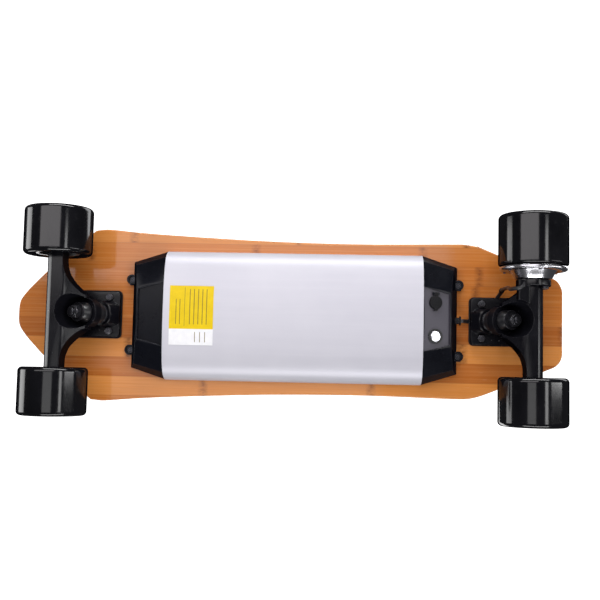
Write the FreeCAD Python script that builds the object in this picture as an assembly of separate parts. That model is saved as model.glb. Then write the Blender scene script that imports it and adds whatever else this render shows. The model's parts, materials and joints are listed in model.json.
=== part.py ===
import FreeCAD, Part
import math
import os
from FreeCAD import Vector as Vec

# Electric skateboard with a hub motor in the rear left wheel. Millimetres.
# +X is the nose, +Y the rider's left, +Z up. The ground is z = 0 and the origin is the
# middle of the footprint.
# Trucks are modelled in a local frame: x points outboard from the axle, towards the
# near end of the board. front() and rear() put them in place; rear() turns them half
# round, so local -y is the rider's left on the rear truck.

# ---------------------------------------------------------------- driving sizes
WHEEL_R = 40.0
WHEEL_W = 56.0
HALF_TRACK = 121.9            # outer wheel faces
AXLE_Z = WHEEL_R
FRONT_X, REAR_X = 269.9, -286.4    # axle positions
AXLE_R = 4.0
BRG_R, BRG_W = 11.0, 7.0      # 608 bearing
RACE_R = 6.0                  # outside of its inner ring
BRG_MID = 93.9                # wheel centre on the axle
SPACER = 10.0                 # between the two bearings
BRG_INNER = BRG_MID - SPACER / 2 - BRG_W    # inner face of the inner bearing
BRG_OUTER = BRG_MID + SPACER / 2 + BRG_W    # outer face of the outer bearing
WASHER_T = 1.0                # speed washers

DECK_Z = 96.4                 # underside of the deck
T_VENEER = 1.5
T_CORE = 8.6
T_GRIP = 1.0
CORE_BOT = DECK_Z + T_VENEER
CORE_TOP = CORE_BOT + T_CORE
DECK_TOP = CORE_TOP + T_VENEER

RISER_T = 2.0
PLATE_TOP = DECK_Z - RISER_T
PLATE_BOT = 89.6
PLATE_IN, PLATE_OUT = -64.4, 15.6    # baseplate ends, truck frame
PLATE_HALF = 28.0
BOLT_DX, BOLT_DY = 53.98, 41.3       # truck bolt rectangle
BOLT_IN = PLATE_IN + 13.0            # inboard bolt row
BOLT_R = 2.5
BOLT_HOLE_R = BOLT_R + 0.15

TILT = math.radians(31.7)     # steering axis above horizontal
RING_X, RING_Z = -32.0, 66.0  # centre of the hanger's ring, truck frame
KINGPIN_R = 4.75

SEAM_F, SEAM_R = 146.5, -162.4    # ends of the aluminium section
CAP_F, CAP_R = 190.8, -206.3      # ends of the end caps at the deck
ENC_HALF = 78.5
WALL = 2.4
EAR_Y = 43.0                  # end cap screws
EAR_OUT = 0.5                 # screw line beyond the cap's end
EAR_H = 11.0
EAR_SCREW_R = 1.95
INSERT_R = 3.2

CABLE_R = 2.4
CABLE_Z = DECK_Z - 10.0       # where the cable leaves the rear end cap
LEAD_R = 2.3

FIT = 0.02                    # close fit

X_DIR, Y_DIR, Z_DIR = Vec(1, 0, 0), Vec(0, 1, 0), Vec(0, 0, 1)

os.makedirs("parts", exist_ok=True)


# ---------------------------------------------------------------- helpers
def save(name, shape):
    solids = shape.Solids
    out = solids[0] if len(solids) == 1 else Part.makeCompound(solids)
    out.exportStep("parts/" + name + ".step")


def join(shapes):
    return shapes[0].multiFuse(shapes[1:]).removeSplitter()


def group(shapes):
    return Part.makeCompound([solid for shape in shapes for solid in shape.Solids])


def polygon(points):
    return Part.makePolygon(points + [points[0]])


def prism(points, push):
    return Part.Face(polygon(points)).extrude(push)


def box(dx, dy, dz, x, y, z):
    return Part.makeBox(dx, dy, dz, Vec(x, y, z))


def cylinder(radius, start, end):
    run = end - start
    return Part.makeCylinder(radius, run.Length, start, run)


def upright(radius, x, y, z0, z1):
    return cylinder(radius, Vec(x, y, z0), Vec(x, y, z1))


def cone(start_r, end_r, start, end):
    run = end - start
    return Part.makeCone(start_r, end_r, run.Length, start, run)


def ring(outer_r, inner_r, start, end):
    step = (end - start).normalize()
    return cylinder(outer_r, start, end).cut(cylinder(inner_r, start - step, end + step))


def hexagon(flats, start, end):
    """Hexagonal prism with chamfered corners, `flats` across the flats."""
    axis = (end - start).normalize()
    side = axis.cross(Y_DIR if abs(axis.y) < 0.9 else X_DIR).normalize()
    other = axis.cross(side)
    corner = flats / math.sqrt(3)
    points = []
    for k in range(6):
        angle = k * math.pi / 3
        points.append(start + side * (corner * math.cos(angle))
                      + other * (corner * math.sin(angle)))
    body = prism(points, end - start)
    small = flats / 2 + 0.1
    large = small + (end - start).Length
    return body.common(cone(small, large, start, end).common(cone(large, small, start, end)))


def tube(points, radius):
    """Round section swept along straight runs with mitred corners."""
    path = Part.Wire(Part.makePolygon(points))
    section = Part.Wire([Part.makeCircle(radius, points[0], points[1] - points[0])])
    return path.makePipeShell([section], True, False, 1)


def spline(points, start_dir=None, end_dir=None):
    curve = Part.BSplineCurve()
    if start_dir is None:
        curve.interpolate(points)
    else:
        curve.interpolate(Points=points, InitialTangent=start_dir, FinalTangent=end_dir)
    return curve.toShape()


def edges_along(shape, axis):
    return [edge for edge in shape.Edges
            if abs(edge.tangentAt(edge.FirstParameter).dot(axis)) > 0.99]


def edges_near(shape, point, reach):
    return [edge for edge in shape.Edges
            if edge.BoundBox.Center.distanceToPoint(point) < reach]


def circle_edges(shape, radius, slack):
    return [edge for edge in shape.Edges
            if abs(edge.Length - 2 * math.pi * radius) < slack]


def rounded_plate(x0, x1, half, z0, z1, radius):
    plate = box(x1 - x0, 2 * half, z1 - z0, x0, -half, z0)
    return plate.makeFillet(radius, edges_along(plate, Z_DIR))


def cap_screw(head, seat, tip, head_r, shank_r, key):
    """Socket screw: outer face of the head, underside of the head, tip."""
    screw = join([cylinder(head_r, head, seat),
                  cylinder(shank_r, seat - (seat - head) * 0.05, tip)])
    axis = (seat - head).normalize()
    return screw.cut(hexagon(key, head - axis, head + axis * 1.4))


def front(shape):
    placed = shape.copy()
    placed.translate(Vec(FRONT_X, 0, 0))
    return placed


def rear(shape):
    placed = shape.copy()
    placed.rotate(Vec(0, 0, 0), Z_DIR, 180)
    placed.translate(Vec(REAR_X, 0, 0))
    return placed


def both(shape):
    return group([front(shape), rear(shape)])


# ---------------------------------------------------------------- deck
# (x, half width), nose first
NOSE = [(333.8, 0), (332.15, 15.6), (327.15, 23.6), (322.1, 29.9), (317.0, 35.4),
        (312.0, 40.6), (307.0, 45.7), (301.9, 50.8)]
SIDE = [(241.9, 103.3), (236.0, 105.1), (229.0, 105.9), (219.5, 105.8), (206.9, 104.6),
        (182.1, 102.4), (132.4, 99.3), (82.9, 96.8), (33.6, 94.7), (-15.4, 93.4),
        (-64.4, 92.7), (-113.2, 92.8), (-161.8, 93.7), (-205.0, 94.5), (-215.3, 94.4),
        (-225.0, 93.2), (-234.5, 90.6), (-244.1, 87.0), (-253.9, 83.0)]
TAIL = [(-316.0, 57.1), (-323.5, 53.9), (-329.2, 49.2), (-332.6, 43.0), (-333.8, 35.0)]
DECK_HALF_L, DECK_HALF_W = 333.8, 105.9
GRIP_HALF_L, GRIP_HALF_W = 331.4, 103.6
BEVEL = 1.1                   # broken edge of the outer veneers
BEVEL_SCALE = (1 - BEVEL / DECK_HALF_L, 1 - BEVEL / DECK_HALF_W)
HEAD_HOLE_R = 5.1             # countersink at the deck's top


def deck_wire(z, x_scale=1.0, y_scale=1.0):
    def run(stations, side):
        return [Vec(x_scale * x, side * y_scale * half, z) for x, half in stations]

    nose_l, side_l, tail_l = [run(stations, 1) for stations in (NOSE, SIDE, TAIL)]
    nose_r, side_r, tail_r = [run(stations, -1) for stations in (NOSE, SIDE, TAIL)]
    # directions of the straight runs, and of their mirror images taken backwards
    fore = (side_l[0] - nose_l[-1]).normalize()
    aft = (tail_l[0] - side_l[-1]).normalize()
    fore_back = Vec(-fore.x, fore.y, 0)
    aft_back = Vec(-aft.x, aft.y, 0)
    across = Vec(0, -1, 0)
    return Part.Wire([
        spline(nose_r[::-1] + nose_l[1:], fore_back, fore),
        Part.makeLine(nose_l[-1], side_l[0]),
        spline(side_l, fore, aft),
        Part.makeLine(side_l[-1], tail_l[0]),
        spline(tail_l, aft, across),
        Part.makeLine(tail_l[-1], tail_r[-1]),
        spline(tail_r[::-1], across, aft_back),
        Part.makeLine(tail_r[0], side_r[-1]),
        spline(side_r[::-1], aft_back, fore_back),
        Part.makeLine(side_r[0], nose_r[-1]),
    ])


def deck_slab(z, thickness, x_scale=1.0, y_scale=1.0):
    return Part.Face(deck_wire(z, x_scale, y_scale)).extrude(Vec(0, 0, thickness))


BOLT_POINTS = [(axle_x + outward * x, y)
               for axle_x, outward in ((FRONT_X, 1), (REAR_X, -1))
               for x in (BOLT_IN, BOLT_IN + BOLT_DX)
               for y in (-BOLT_DY / 2, BOLT_DY / 2)]
EAR_POINTS = [(x, y) for x in (CAP_F + EAR_OUT, CAP_R - EAR_OUT) for y in (EAR_Y, -EAR_Y)]

bolt_holes = group([upright(BOLT_HOLE_R, x, y, 80, 120) for x, y in BOLT_POINTS])
countersinks = group([cone(BOLT_HOLE_R, HEAD_HOLE_R,
                           Vec(x, y, DECK_TOP - 2.6), Vec(x, y, DECK_TOP + 0.02))
                      for x, y in BOLT_POINTS])
insert_holes = group([upright(INSERT_R + FIT, x, y, DECK_Z - 1, DECK_Z + 9)
                      for x, y in EAR_POINTS])

# cable from the rear end cap to the rear truck, over the rear baseplate
PLATE_X = REAR_X - PLATE_IN   # inboard end of the rear baseplate
CABLE_PATH = [
    Vec(CAP_R + 9.0, 0.0, CABLE_Z),
    Vec(CAP_R - 5.0, 0.0, CABLE_Z + 0.3),
    Vec(PLATE_X + 8.0, 0.0, CABLE_Z + 4.6),
    Vec(PLATE_X + 1.0, 0.2, PLATE_TOP + 2.9),
    Vec(PLATE_X - 8.0, 4.0, PLATE_TOP + 3.0),
    Vec(PLATE_X - 22.0, 16.5, PLATE_TOP + 3.0),
    Vec(PLATE_X - 31.0, 26.5, PLATE_TOP + 2.4),
    Vec(PLATE_X - 35.0, 33.5, DECK_Z - 7.0),
    Vec(PLATE_X - 36.0, 37.0, DECK_Z - 15.0),
]
groove = tube(CABLE_PATH, CABLE_R + 0.3)

bottom_veneer = Part.makeLoft([deck_wire(DECK_Z, *BEVEL_SCALE), deck_wire(DECK_Z + BEVEL),
                               deck_wire(CORE_BOT)], True, True)
top_veneer = Part.makeLoft([deck_wire(CORE_TOP), deck_wire(DECK_TOP - BEVEL),
                            deck_wire(DECK_TOP, *BEVEL_SCALE)], True, True)
bottom_veneer = bottom_veneer.cut(bolt_holes).cut(insert_holes).cut(groove)
top_veneer = top_veneer.cut(bolt_holes).cut(countersinks)
save("deck_veneers", group([bottom_veneer, top_veneer]))

core = deck_slab(CORE_BOT, T_CORE)
save("deck_core", core.cut(bolt_holes).cut(countersinks).cut(insert_holes).cut(groove))

grip = deck_slab(DECK_TOP, T_GRIP, GRIP_HALF_L / DECK_HALF_L, GRIP_HALF_W / DECK_HALF_W)
save("grip_tape", grip.cut(group([upright(5.3, x, y, DECK_TOP - 1, DECK_TOP + T_GRIP + 1)
                                  for x, y in BOLT_POINTS])))

# ---------------------------------------------------------------- truck frame
PIVOT_DIR = Vec(math.cos(TILT), 0, math.sin(TILT))      # steering axis, up to the pivot
KINGPIN_DIR = Vec(math.sin(TILT), 0, -math.cos(TILT))   # kingpin, down to the ground
RING_MID = Vec(RING_X, 0, RING_Z)


def on_kingpin(distance):
    return RING_MID + KINGPIN_DIR * distance


def on_pivot(distance):
    return RING_MID + PIVOT_DIR * distance


def on_axle(y):
    return Vec(0, y, AXLE_Z)


def spin_kingpin(profile):
    """Turn (distance, radius) points about the kingpin."""
    points = [RING_MID + KINGPIN_DIR * along + PIVOT_DIR * radius for along, radius in profile]
    return Part.Face(polygon(points)).revolve(RING_MID, KINGPIN_DIR, 360)


def spin_axle(profile, side):
    """Turn (y, radius) points about the axle; side is the sign of y."""
    points = [Vec(0, side * y, AXLE_Z + radius) for y, radius in profile]
    return Part.Face(polygon(points)).revolve(on_axle(0), Y_DIR, 360)


def around_axle(shape, degrees):
    """Turn a shape built about the Y axis and lift it to the axle."""
    turned = shape.copy()
    turned.rotate(Vec(0, 0, 0), Y_DIR, degrees)
    turned.translate(Vec(0, 0, AXLE_Z))
    return turned


def polar(radius, y, degrees):
    angle = math.radians(degrees)
    return Vec(radius * math.cos(angle), y, AXLE_Z + radius * math.sin(angle))


def sleeve(radius, y0, y1):
    return ring(radius, AXLE_R + FIT, on_axle(y0), on_axle(y1))


axle_hole = cylinder(AXLE_R + FIT, on_axle(-130), on_axle(130))

# ---------------------------------------------------------------- baseplates
SEAT_R = 15.2                 # kingpin seat at its lower end
BOSS_R = 11.6                 # boss round the pivot cup
BOSS_START = 28.6             # along the steering axis
CUP_R = 8.0
CUP_START, CUP_END = 29.2, 38.0

plate = rounded_plate(PLATE_IN, PLATE_OUT, PLATE_HALF, PLATE_BOT, PLATE_TOP, 5.0)
plate = plate.makeFillet(1.0, [edge for edge in plate.Edges
                               if abs(edge.BoundBox.ZMax - PLATE_BOT) < 1e-6])
seat = cone(18.8, SEAT_R, on_kingpin(-40), on_kingpin(-20.4))
seat = seat.makeFillet(2.0, circle_edges(seat, SEAT_R, 0.5))
boss = cylinder(BOSS_R, on_pivot(BOSS_START), on_pivot(48))
boss = boss.makeFillet(1.5, edges_near(boss, on_pivot(BOSS_START), 1.0))
above_plate = box(120, 80, 60, -80, -40, PLATE_TOP)
plate_span = box(PLATE_OUT - PLATE_IN, 80, 80, PLATE_IN, -40, 40)
baseplate = join([plate, seat.common(plate_span), boss.common(plate_span)]).cut(above_plate)
baseplate = baseplate.cut(cylinder(KINGPIN_R + FIT, on_kingpin(-30), on_kingpin(0)))
baseplate = baseplate.cut(cylinder(CUP_R + FIT, on_pivot(20), on_pivot(CUP_END + FIT)))
plate_holes = group([upright(BOLT_HOLE_R, BOLT_IN + i * BOLT_DX, j * BOLT_DY / 2, 70, 100)
                     for i in (0, 1) for j in (-1, 1)])
baseplate = baseplate.cut(plate_holes)
save("front_baseplate", front(baseplate))
save("rear_baseplate", rear(baseplate).cut(groove))

PAD_RIM = 1.5                 # pad shows round the baseplate
pad = rounded_plate(PLATE_IN - PAD_RIM, PLATE_OUT + PAD_RIM, PLATE_HALF + PAD_RIM,
                    PLATE_TOP, DECK_Z, 6.0).cut(plate_holes)
save("riser_pads", group([front(pad), rear(pad).cut(groove)]))

cup = cylinder(CUP_R, on_pivot(CUP_START), on_pivot(CUP_END))
cup = cup.cut(cylinder(5.56, on_pivot(20), on_pivot(36.6)))
rim = [edge for edge in circle_edges(cup, CUP_R, 0.2)
       if edge.BoundBox.Center.distanceToPoint(on_pivot(CUP_START)) < 1]
save("pivot_cups", both(cup.makeChamfer(0.5, rim)))

# ---------------------------------------------------------------- kingpins and bushings
KINGPIN_END = 29.6
kingpin = cylinder(KINGPIN_R, on_kingpin(-29), on_kingpin(KINGPIN_END))
tip_edges = edges_near(kingpin, on_kingpin(KINGPIN_END), 0.5)
save("kingpins", both(kingpin.makeChamfer(0.9, tip_edges)))

nut = hexagon(14.3, on_kingpin(18.6), on_kingpin(25.0))
nut = nut.fuse(cylinder(6.6, on_kingpin(25.0), on_kingpin(27.4)))
nut = nut.cut(cylinder(KINGPIN_R + FIT, on_kingpin(10), on_kingpin(40)))
save("kingpin_nuts", both(nut.removeSplitter()))

# (distance below the ring's centre, radius)
BARREL = [(-18.4, 5.0), (-18.4, 11.0), (-16.5, 12.6), (-12, 13.0), (-8, 12.8),
          (-5.08, 12.2), (-5.08, 10.6), (-3.1, 10.6), (-3.1, 5.0)]
CONE = [(3.1, 5.0), (3.1, 10.6), (5.08, 10.6), (5.08, 12.3), (8.0, 12.4), (16.9, 9.8),
        (16.9, 5.0)]
bushings = group([spin_kingpin(BARREL), spin_kingpin(CONE)])
save("front_bushings", front(bushings))
save("rear_bushings", rear(bushings))

# flat washers: start, end, radius
WASHERS = [(-20.3, -18.5, 11.6), (17.0, 18.5, 11.5)]
washers = group([spin_kingpin([(start, 4.9), (start, radius), (end, radius), (end, 4.9)])
                 for start, end, radius in WASHERS])
save("bushing_washers", both(washers))


# ---------------------------------------------------------------- truck bolts
def truck_bolt(x, y):
    head = cone(BOLT_R, 4.75, Vec(x, y, DECK_TOP - 2.5), Vec(x, y, DECK_TOP - 0.15))
    bolt = join([head, upright(BOLT_R, x, y, PLATE_BOT - 6.5, DECK_TOP - 2.4)])
    return bolt.cut(hexagon(3.0, Vec(x, y, DECK_TOP - 1.8), Vec(x, y, DECK_TOP + 1)))


def lock_nut(x, y):
    body = hexagon(8.0, Vec(x, y, PLATE_BOT - 0.02), Vec(x, y, PLATE_BOT - 3.6))
    body = body.fuse(upright(3.7, x, y, PLATE_BOT - 3.4, PLATE_BOT - 5.2)).removeSplitter()
    return body.cut(upright(BOLT_R + FIT, x, y, 80, 95))


save("truck_bolts", group([truck_bolt(x, y) for x, y in BOLT_POINTS]))
save("truck_lock_nuts", group([lock_nut(x, y) for x, y in BOLT_POINTS]))

# ---------------------------------------------------------------- hangers
HANGER_OUT, HANGER_IN = 10, -9.6    # x of the axle housing's edges
HOUSING_END = 70.0
MOTOR_HOUSING_END = 38.5            # shorter where the motor mounts
BOSS_END = BRG_INNER - WASHER_T
# inboard edge seen from below: (x, distance from the centre), from the wheel to the ring
WING = [(HANGER_IN, 60.0), (-10.6, 51.0), (-13.2, 42.0), (-18.4, 33.0), (-25.5, 25.2),
        (-34.0, 20.0)]
MOTOR_WING = [(HANGER_IN, MOTOR_HOUSING_END), (-13.0, 34.6), (-18.4, 30.2), (-25.5, 25.2),
              (-34.0, 20.0)]
# outline seen from the side: (x, z)
HANGER_SIDE = [(10, 35), (8.2, 31.5), (3.2, 28.2), (-8.4, 28), (-12, 29.6), (-43.9, 52.8),
               (-49.0, 61.3), (-20.1, 79.2), (-12, 75.0), (-1, 61.0), (6.5, 52.2), (10, 46)]
# outline seen along the board, falling from the ring to the axle housing: (y, z)
HANGER_FALL = [(-100, 20), (100, 20), (100, 52.2), (54, 52.2), (44, 55.5), (20, 79.5),
               (-20, 79.5), (-44, 55.5), (-54, 52.2), (-100, 52.2)]


def hanger_plan(neg_end, neg_wing):
    pos = [Vec(x, y, 0) for x, y in WING]
    neg = [Vec(x, -y, 0) for x, y in neg_wing]
    corners = [Vec(HANGER_OUT, -neg_end, 0), Vec(HANGER_OUT, HOUSING_END, 0),
               Vec(HANGER_IN, HOUSING_END, 0), Vec(HANGER_IN, -neg_end, 0)]
    edges = [
        Part.makeLine(corners[0], corners[1]),
        Part.makeLine(corners[1], corners[2]),
        Part.makeLine(corners[2], pos[0]),
        spline(pos, Vec(0, -1, 0), Vec(-1, -0.25, 0)),
        Part.makeLine(pos[-1], neg[-1]),
        spline(neg[::-1], Vec(1, -0.25, 0), Vec(0, -1, 0)),
    ]
    if neg[0].y + neg_end > 1e-6:
        edges.append(Part.makeLine(neg[0], corners[3]))
    edges.append(Part.makeLine(corners[3], corners[0]))
    return Part.Face(Part.Wire(edges)).extrude(Vec(0, 0, 120))


def oval(centre, first, second):
    curve = Part.BSplineCurve()
    angles = [2 * math.pi * i / 16 for i in range(16)]
    curve.interpolate([centre + first * math.cos(a) + second * math.sin(a)
                       for a in angles], True)
    return Part.Wire([curve.toShape()])


hanger_side = prism([Vec(x, -100, z) for x, z in HANGER_SIDE], Vec(0, 200, 0))
hanger_side = hanger_side.common(prism([Vec(-80, y, z) for y, z in HANGER_FALL],
                                       Vec(160, 0, 0)))
# flared hollow from below the hanger up to the ring
bowl = Part.makeLoft([oval(Vec(-20.5, 0, 24.0), X_DIR * 20.0, Y_DIR * 22.4),
                      oval(on_kingpin(5.0), PIVOT_DIR * 16.4, Y_DIR * 16.4)], True, True)


def hanger(neg_end, neg_wing, boss_sides):
    body = join([
        hanger_plan(neg_end, neg_wing).common(hanger_side),
        cylinder(17.4, on_kingpin(-5), on_kingpin(5)),
        cone(9.6, 5.5, on_pivot(15.5), on_pivot(27.6)),
        cylinder(5.5, on_pivot(27.6), on_pivot(36.4)),
    ])
    body = join([body] + [cylinder(9.0, on_axle(side * 60), on_axle(side * BOSS_END))
                          for side in boss_sides])
    body = body.cut(bowl)
    # kingpin hole, then the bushing recesses above and below
    body = body.cut(cylinder(8.2, on_kingpin(-8), on_kingpin(8)))
    body = body.cut(cylinder(10.7, on_kingpin(-9), on_kingpin(-3.0)))
    body = body.cut(cylinder(10.7, on_kingpin(3.0), on_kingpin(9)))
    return body.cut(axle_hole)


save("front_hanger", front(hanger(HOUSING_END, WING, (1, -1))))
rear_hanger = hanger(MOTOR_HOUSING_END, MOTOR_WING, (1,))
save("rear_hanger", rear(rear_hanger))

# ---------------------------------------------------------------- axles and their hardware
AXLE_END = 117.4
MOTOR_AXLE_END = 112.6


def axle(neg_end):
    rod = cylinder(AXLE_R, on_axle(-neg_end), on_axle(AXLE_END))
    return rod.makeChamfer(0.7, circle_edges(rod, AXLE_R, 0.1))


def axle_nut(side):
    base = BRG_OUTER + WASHER_T
    body = hexagon(13.0, on_axle(side * base), on_axle(side * (base + 5.2)))
    collar = cylinder(5.9, on_axle(side * (base + 4.9)), on_axle(side * (base + 7.4)))
    return body.fuse(collar).removeSplitter().cut(axle_hole)


def speed_washers(side):
    return [sleeve(6.2, side * y, side * (y + WASHER_T))
            for y in (BRG_INNER - WASHER_T, BRG_OUTER)]


def inner_races(starts, side):
    return [sleeve(RACE_R, side * y, side * (y + BRG_W)) for y in starts]


def outer_races(starts, side):
    """Outer rings with a thin shield on each face."""
    shield_r = 6.06
    profile = [(0, 8.6), (0, BRG_R - 0.2), (0.2, BRG_R), (BRG_W - 0.2, BRG_R),
               (BRG_W, BRG_R - 0.2), (BRG_W, 8.6), (BRG_W - 0.4, 8.6),
               (BRG_W - 0.4, shield_r), (BRG_W - 0.7, shield_r), (BRG_W - 0.7, 8.9),
               (0.7, 8.9), (0.7, shield_r), (0.4, shield_r), (0.4, 8.6)]
    return group([spin_axle([(start + y, radius) for y, radius in profile], side)
                  for start in starts])


WHEEL_BRGS = (BRG_INNER, BRG_OUTER - BRG_W)
MOTOR_BRGS = (52.4, 105.4)

save("front_axle", front(axle(AXLE_END)))
save("rear_axle", rear(axle(MOTOR_AXLE_END)))
save("front_axle_nuts", front(group([axle_nut(1), axle_nut(-1)])))
save("rear_axle_nut", rear(axle_nut(1)))
save("front_speed_washers", front(group(speed_washers(1) + speed_washers(-1))))
save("rear_speed_washers", rear(group(speed_washers(1))))
save("front_inner_races", front(group(inner_races(WHEEL_BRGS, 1)
                                      + inner_races(WHEEL_BRGS, -1))))
save("rear_inner_races", rear(group(inner_races(WHEEL_BRGS, 1)
                                    + inner_races(MOTOR_BRGS, -1))))

# ---------------------------------------------------------------- free wheels
CORE_R = 25.0
WHEEL_IN = HALF_TRACK - WHEEL_W
TYRE_LIP = 5.0                # corner radius of the tread


def tread_corner(face, inward, radius, steps):
    """Rounded corner from a side face up to the tread."""
    angles = [i * math.pi / (2 * steps) for i in range(steps + 1)]
    return [(face + inward * (radius - radius * math.cos(a)),
             WHEEL_R - radius + radius * math.sin(a)) for a in angles]


def tyre(side):
    profile = [(WHEEL_IN + 1.6, CORE_R + FIT), (WHEEL_IN + 0.6, 28.5), (WHEEL_IN, 32.5)]
    profile += tread_corner(WHEEL_IN, 1, TYRE_LIP, 7)
    profile += tread_corner(HALF_TRACK, -1, TYRE_LIP, 7)[::-1]
    profile += [(HALF_TRACK, 32.5), (HALF_TRACK - 0.6, 28.5),
                (HALF_TRACK - 1.6, CORE_R + FIT)]
    return spin_axle(profile, side)


def wheel_core(side):
    y0, y1 = WHEEL_IN + 1.6, HALF_TRACK - 1.6
    barrel = spin_axle([(y0, 22.0), (y0, CORE_R), (y1, CORE_R), (y1, 22.0),
                        (BRG_MID + 8, 20.5), (BRG_MID - 8, 20.5)], side)
    seat_r = BRG_R + FIT
    seat_in, seat_out = BRG_INNER + BRG_W + 0.02, BRG_OUTER - BRG_W - 0.02
    hub = spin_axle([(BRG_INNER, seat_r), (BRG_INNER, 14.0), (BRG_MID - 6, 16.0),
                     (BRG_MID + 6, 16.0), (BRG_OUTER, 14.0), (BRG_OUTER, seat_r),
                     (seat_out, seat_r), (seat_out, 9.0),
                     (seat_in, 9.0), (seat_in, seat_r)], side)
    web = spin_axle([(BRG_MID - 1.5, 15.0), (BRG_MID - 1.5, 21.5),
                     (BRG_MID + 1.5, 21.5), (BRG_MID + 1.5, 15.0)], side)
    spoke = box(4.2, 20.0, 9.0, -2.1, side * BRG_MID - 10.0, 14.4)
    return join([barrel, hub, web] + [around_axle(spoke, 45 * i + 11) for i in range(8)])


for name, place, side in (("front_left", front, 1), ("front_right", front, -1),
                          ("rear_right", rear, 1)):
    save(name + "_tyre", place(tyre(side)))
    save(name + "_wheel_core", place(wheel_core(side)))
    save(name + "_bearings", place(outer_races(WHEEL_BRGS, side)))

# ---------------------------------------------------------------- hub motor, local -y
MOTOR = -1                    # side of the rear truck
MOTOR_TYRE_IN = 62.4
CAN_R, CAN_BORE = 33.6, 30.2
CAN_FACE = HALF_TRACK - 0.6
WALL_IN, WALL_OUT = 114.0, 118.4    # faces of the can's outer wall
STACK_IN, STACK_OUT = 76, 104       # lamination stack
STACK_L = STACK_OUT - STACK_IN
BRG_A, BRG_B = MOTOR_BRGS
BRG_SEAT_R = BRG_R + FIT

profile = [(MOTOR_TYRE_IN, CAN_R + FIT)]
profile += tread_corner(MOTOR_TYRE_IN, 1, 2.4, 6)
profile += tread_corner(HALF_TRACK, -1, TYRE_LIP, 7)[::-1]
profile += [(HALF_TRACK - 0.4, CAN_R + FIT)]
save("motor_tyre", rear(spin_axle(profile, MOTOR)))

save("motor_can", rear(spin_axle([
    (61.4, CAN_BORE), (61.4, CAN_R), (CAN_FACE - 0.8, CAN_R), (CAN_FACE, CAN_R - 0.8),
    (CAN_FACE, 29.0), (WALL_OUT, 26.0), (WALL_OUT, 0.0), (WALL_IN, 0.0), (WALL_IN, 10.0),
    (BRG_B + BRG_W, 10.0), (BRG_B + BRG_W, BRG_SEAT_R), (BRG_B, BRG_SEAT_R),
    (BRG_B, 13.6), (WALL_IN, 15.0), (WALL_IN, CAN_BORE)], MOTOR)))

MAGNETS = 14
MAGNET_ARC = 22.4             # degrees
magnet_ring = spin_axle([(74, 27.6), (74, CAN_BORE - FIT), (106, CAN_BORE - FIT),
                         (106, 27.6)], MOTOR)
arc = math.radians(MAGNET_ARC)
wedge = prism([Vec(0, -120, 0), Vec(60, -120, 0),
               Vec(60 * math.cos(arc), -120, 60 * math.sin(arc))], Vec(0, 60, 0))
save("motor_magnets", rear(group([
    magnet_ring.common(around_axle(wedge, MAGNET_ARC / 2 - i * 360 / MAGNETS))
    for i in range(MAGNETS)])))

# inner cover: broad lip, stepped cone and a seat for the inner bearing
cover = spin_axle([
    (61.2, CAN_BORE - 0.1), (61.2, 37.6), (60.4, 38.4), (57.2, 38.4), (56.4, 37.6),
    (55.8, 31.2), (57.6, 29.8), (57.6, 26.6), (56.2, 25.6), (47.6, 21.2), (46.9, 20.4),
    (46.9, 12.6), (52.2, 11.4), (52.2, BRG_SEAT_R), (BRG_A + BRG_W, BRG_SEAT_R),
    (BRG_A + BRG_W, 14.5), (61.2, 19.0)], MOTOR)
cover = cover.cut(group([cylinder(1.7, polar(34.6, -52, 30 + 60 * i),
                                  polar(34.6, -58.6, 30 + 60 * i)) for i in range(6)]))
save("motor_inner_cover", rear(cover))
save("motor_bearings", rear(outer_races(MOTOR_BRGS, MOTOR)))

# stator: twelve-tooth lamination stack and its coils
TEETH = 12
TOOTH_STEP = 360 / TEETH
TOOTH_W = 4.0
stack_hub = sleeve(14.0, -STACK_IN, -STACK_OUT)
shoes = spin_axle([(STACK_IN, 24.6), (STACK_IN, 27.1), (STACK_OUT, 27.1),
                   (STACK_OUT, 24.6)], MOTOR)
tooth = box(TOOTH_W, STACK_L, 13.0, -TOOTH_W / 2, -STACK_OUT, 13.0)
gap = box(2.2, 40.0, 8.0, -1.1, -110, 22.0)
teeth = [around_axle(tooth, TOOTH_STEP * i) for i in range(TEETH)]
gaps = [around_axle(gap, TOOTH_STEP * (i + 0.5)) for i in range(TEETH)]
save("motor_stator", rear(join([stack_hub, shoes] + teeth).cut(group(gaps))))

coil = box(8.2, 33.4, 7.6, -4.1, -106.7, 16.4)
coil = coil.makeFillet(1.6, edges_along(coil, Z_DIR))
spread = 40 * math.sin(math.radians(14.0))
coil = coil.common(prism([Vec(0, -120, 0), Vec(spread, -120, 40), Vec(-spread, -120, 40)],
                         Vec(0, 60, 0)))
coil = coil.cut(box(TOOTH_W + 0.1, STACK_L + 0.1, 20, -TOOTH_W / 2 - 0.05,
                    -STACK_OUT - 0.05, 10))
save("motor_windings", rear(group([around_axle(coil, TOOTH_STEP * i)
                                   for i in range(TEETH)])))

# mounting flange on the hanger, with an arm that shields the motor lead
FLANGE_R = 19.8
SCREW_CIRCLE_R = 14.6
SCREW_SEAT_Y = -38.58         # under the screw heads
SCREW_R = 1.5
LEAD_PATH = [Vec(-13.4, -46.0, 26.6), Vec(-13.4, -42.6, 26.6), Vec(-14.6, -38.0, 25.8),
             Vec(-18.6, -35.4, 25.6), Vec(-24.5, -34.8, 30.0), Vec(-26.8, -34.8, 38.0)]

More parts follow.
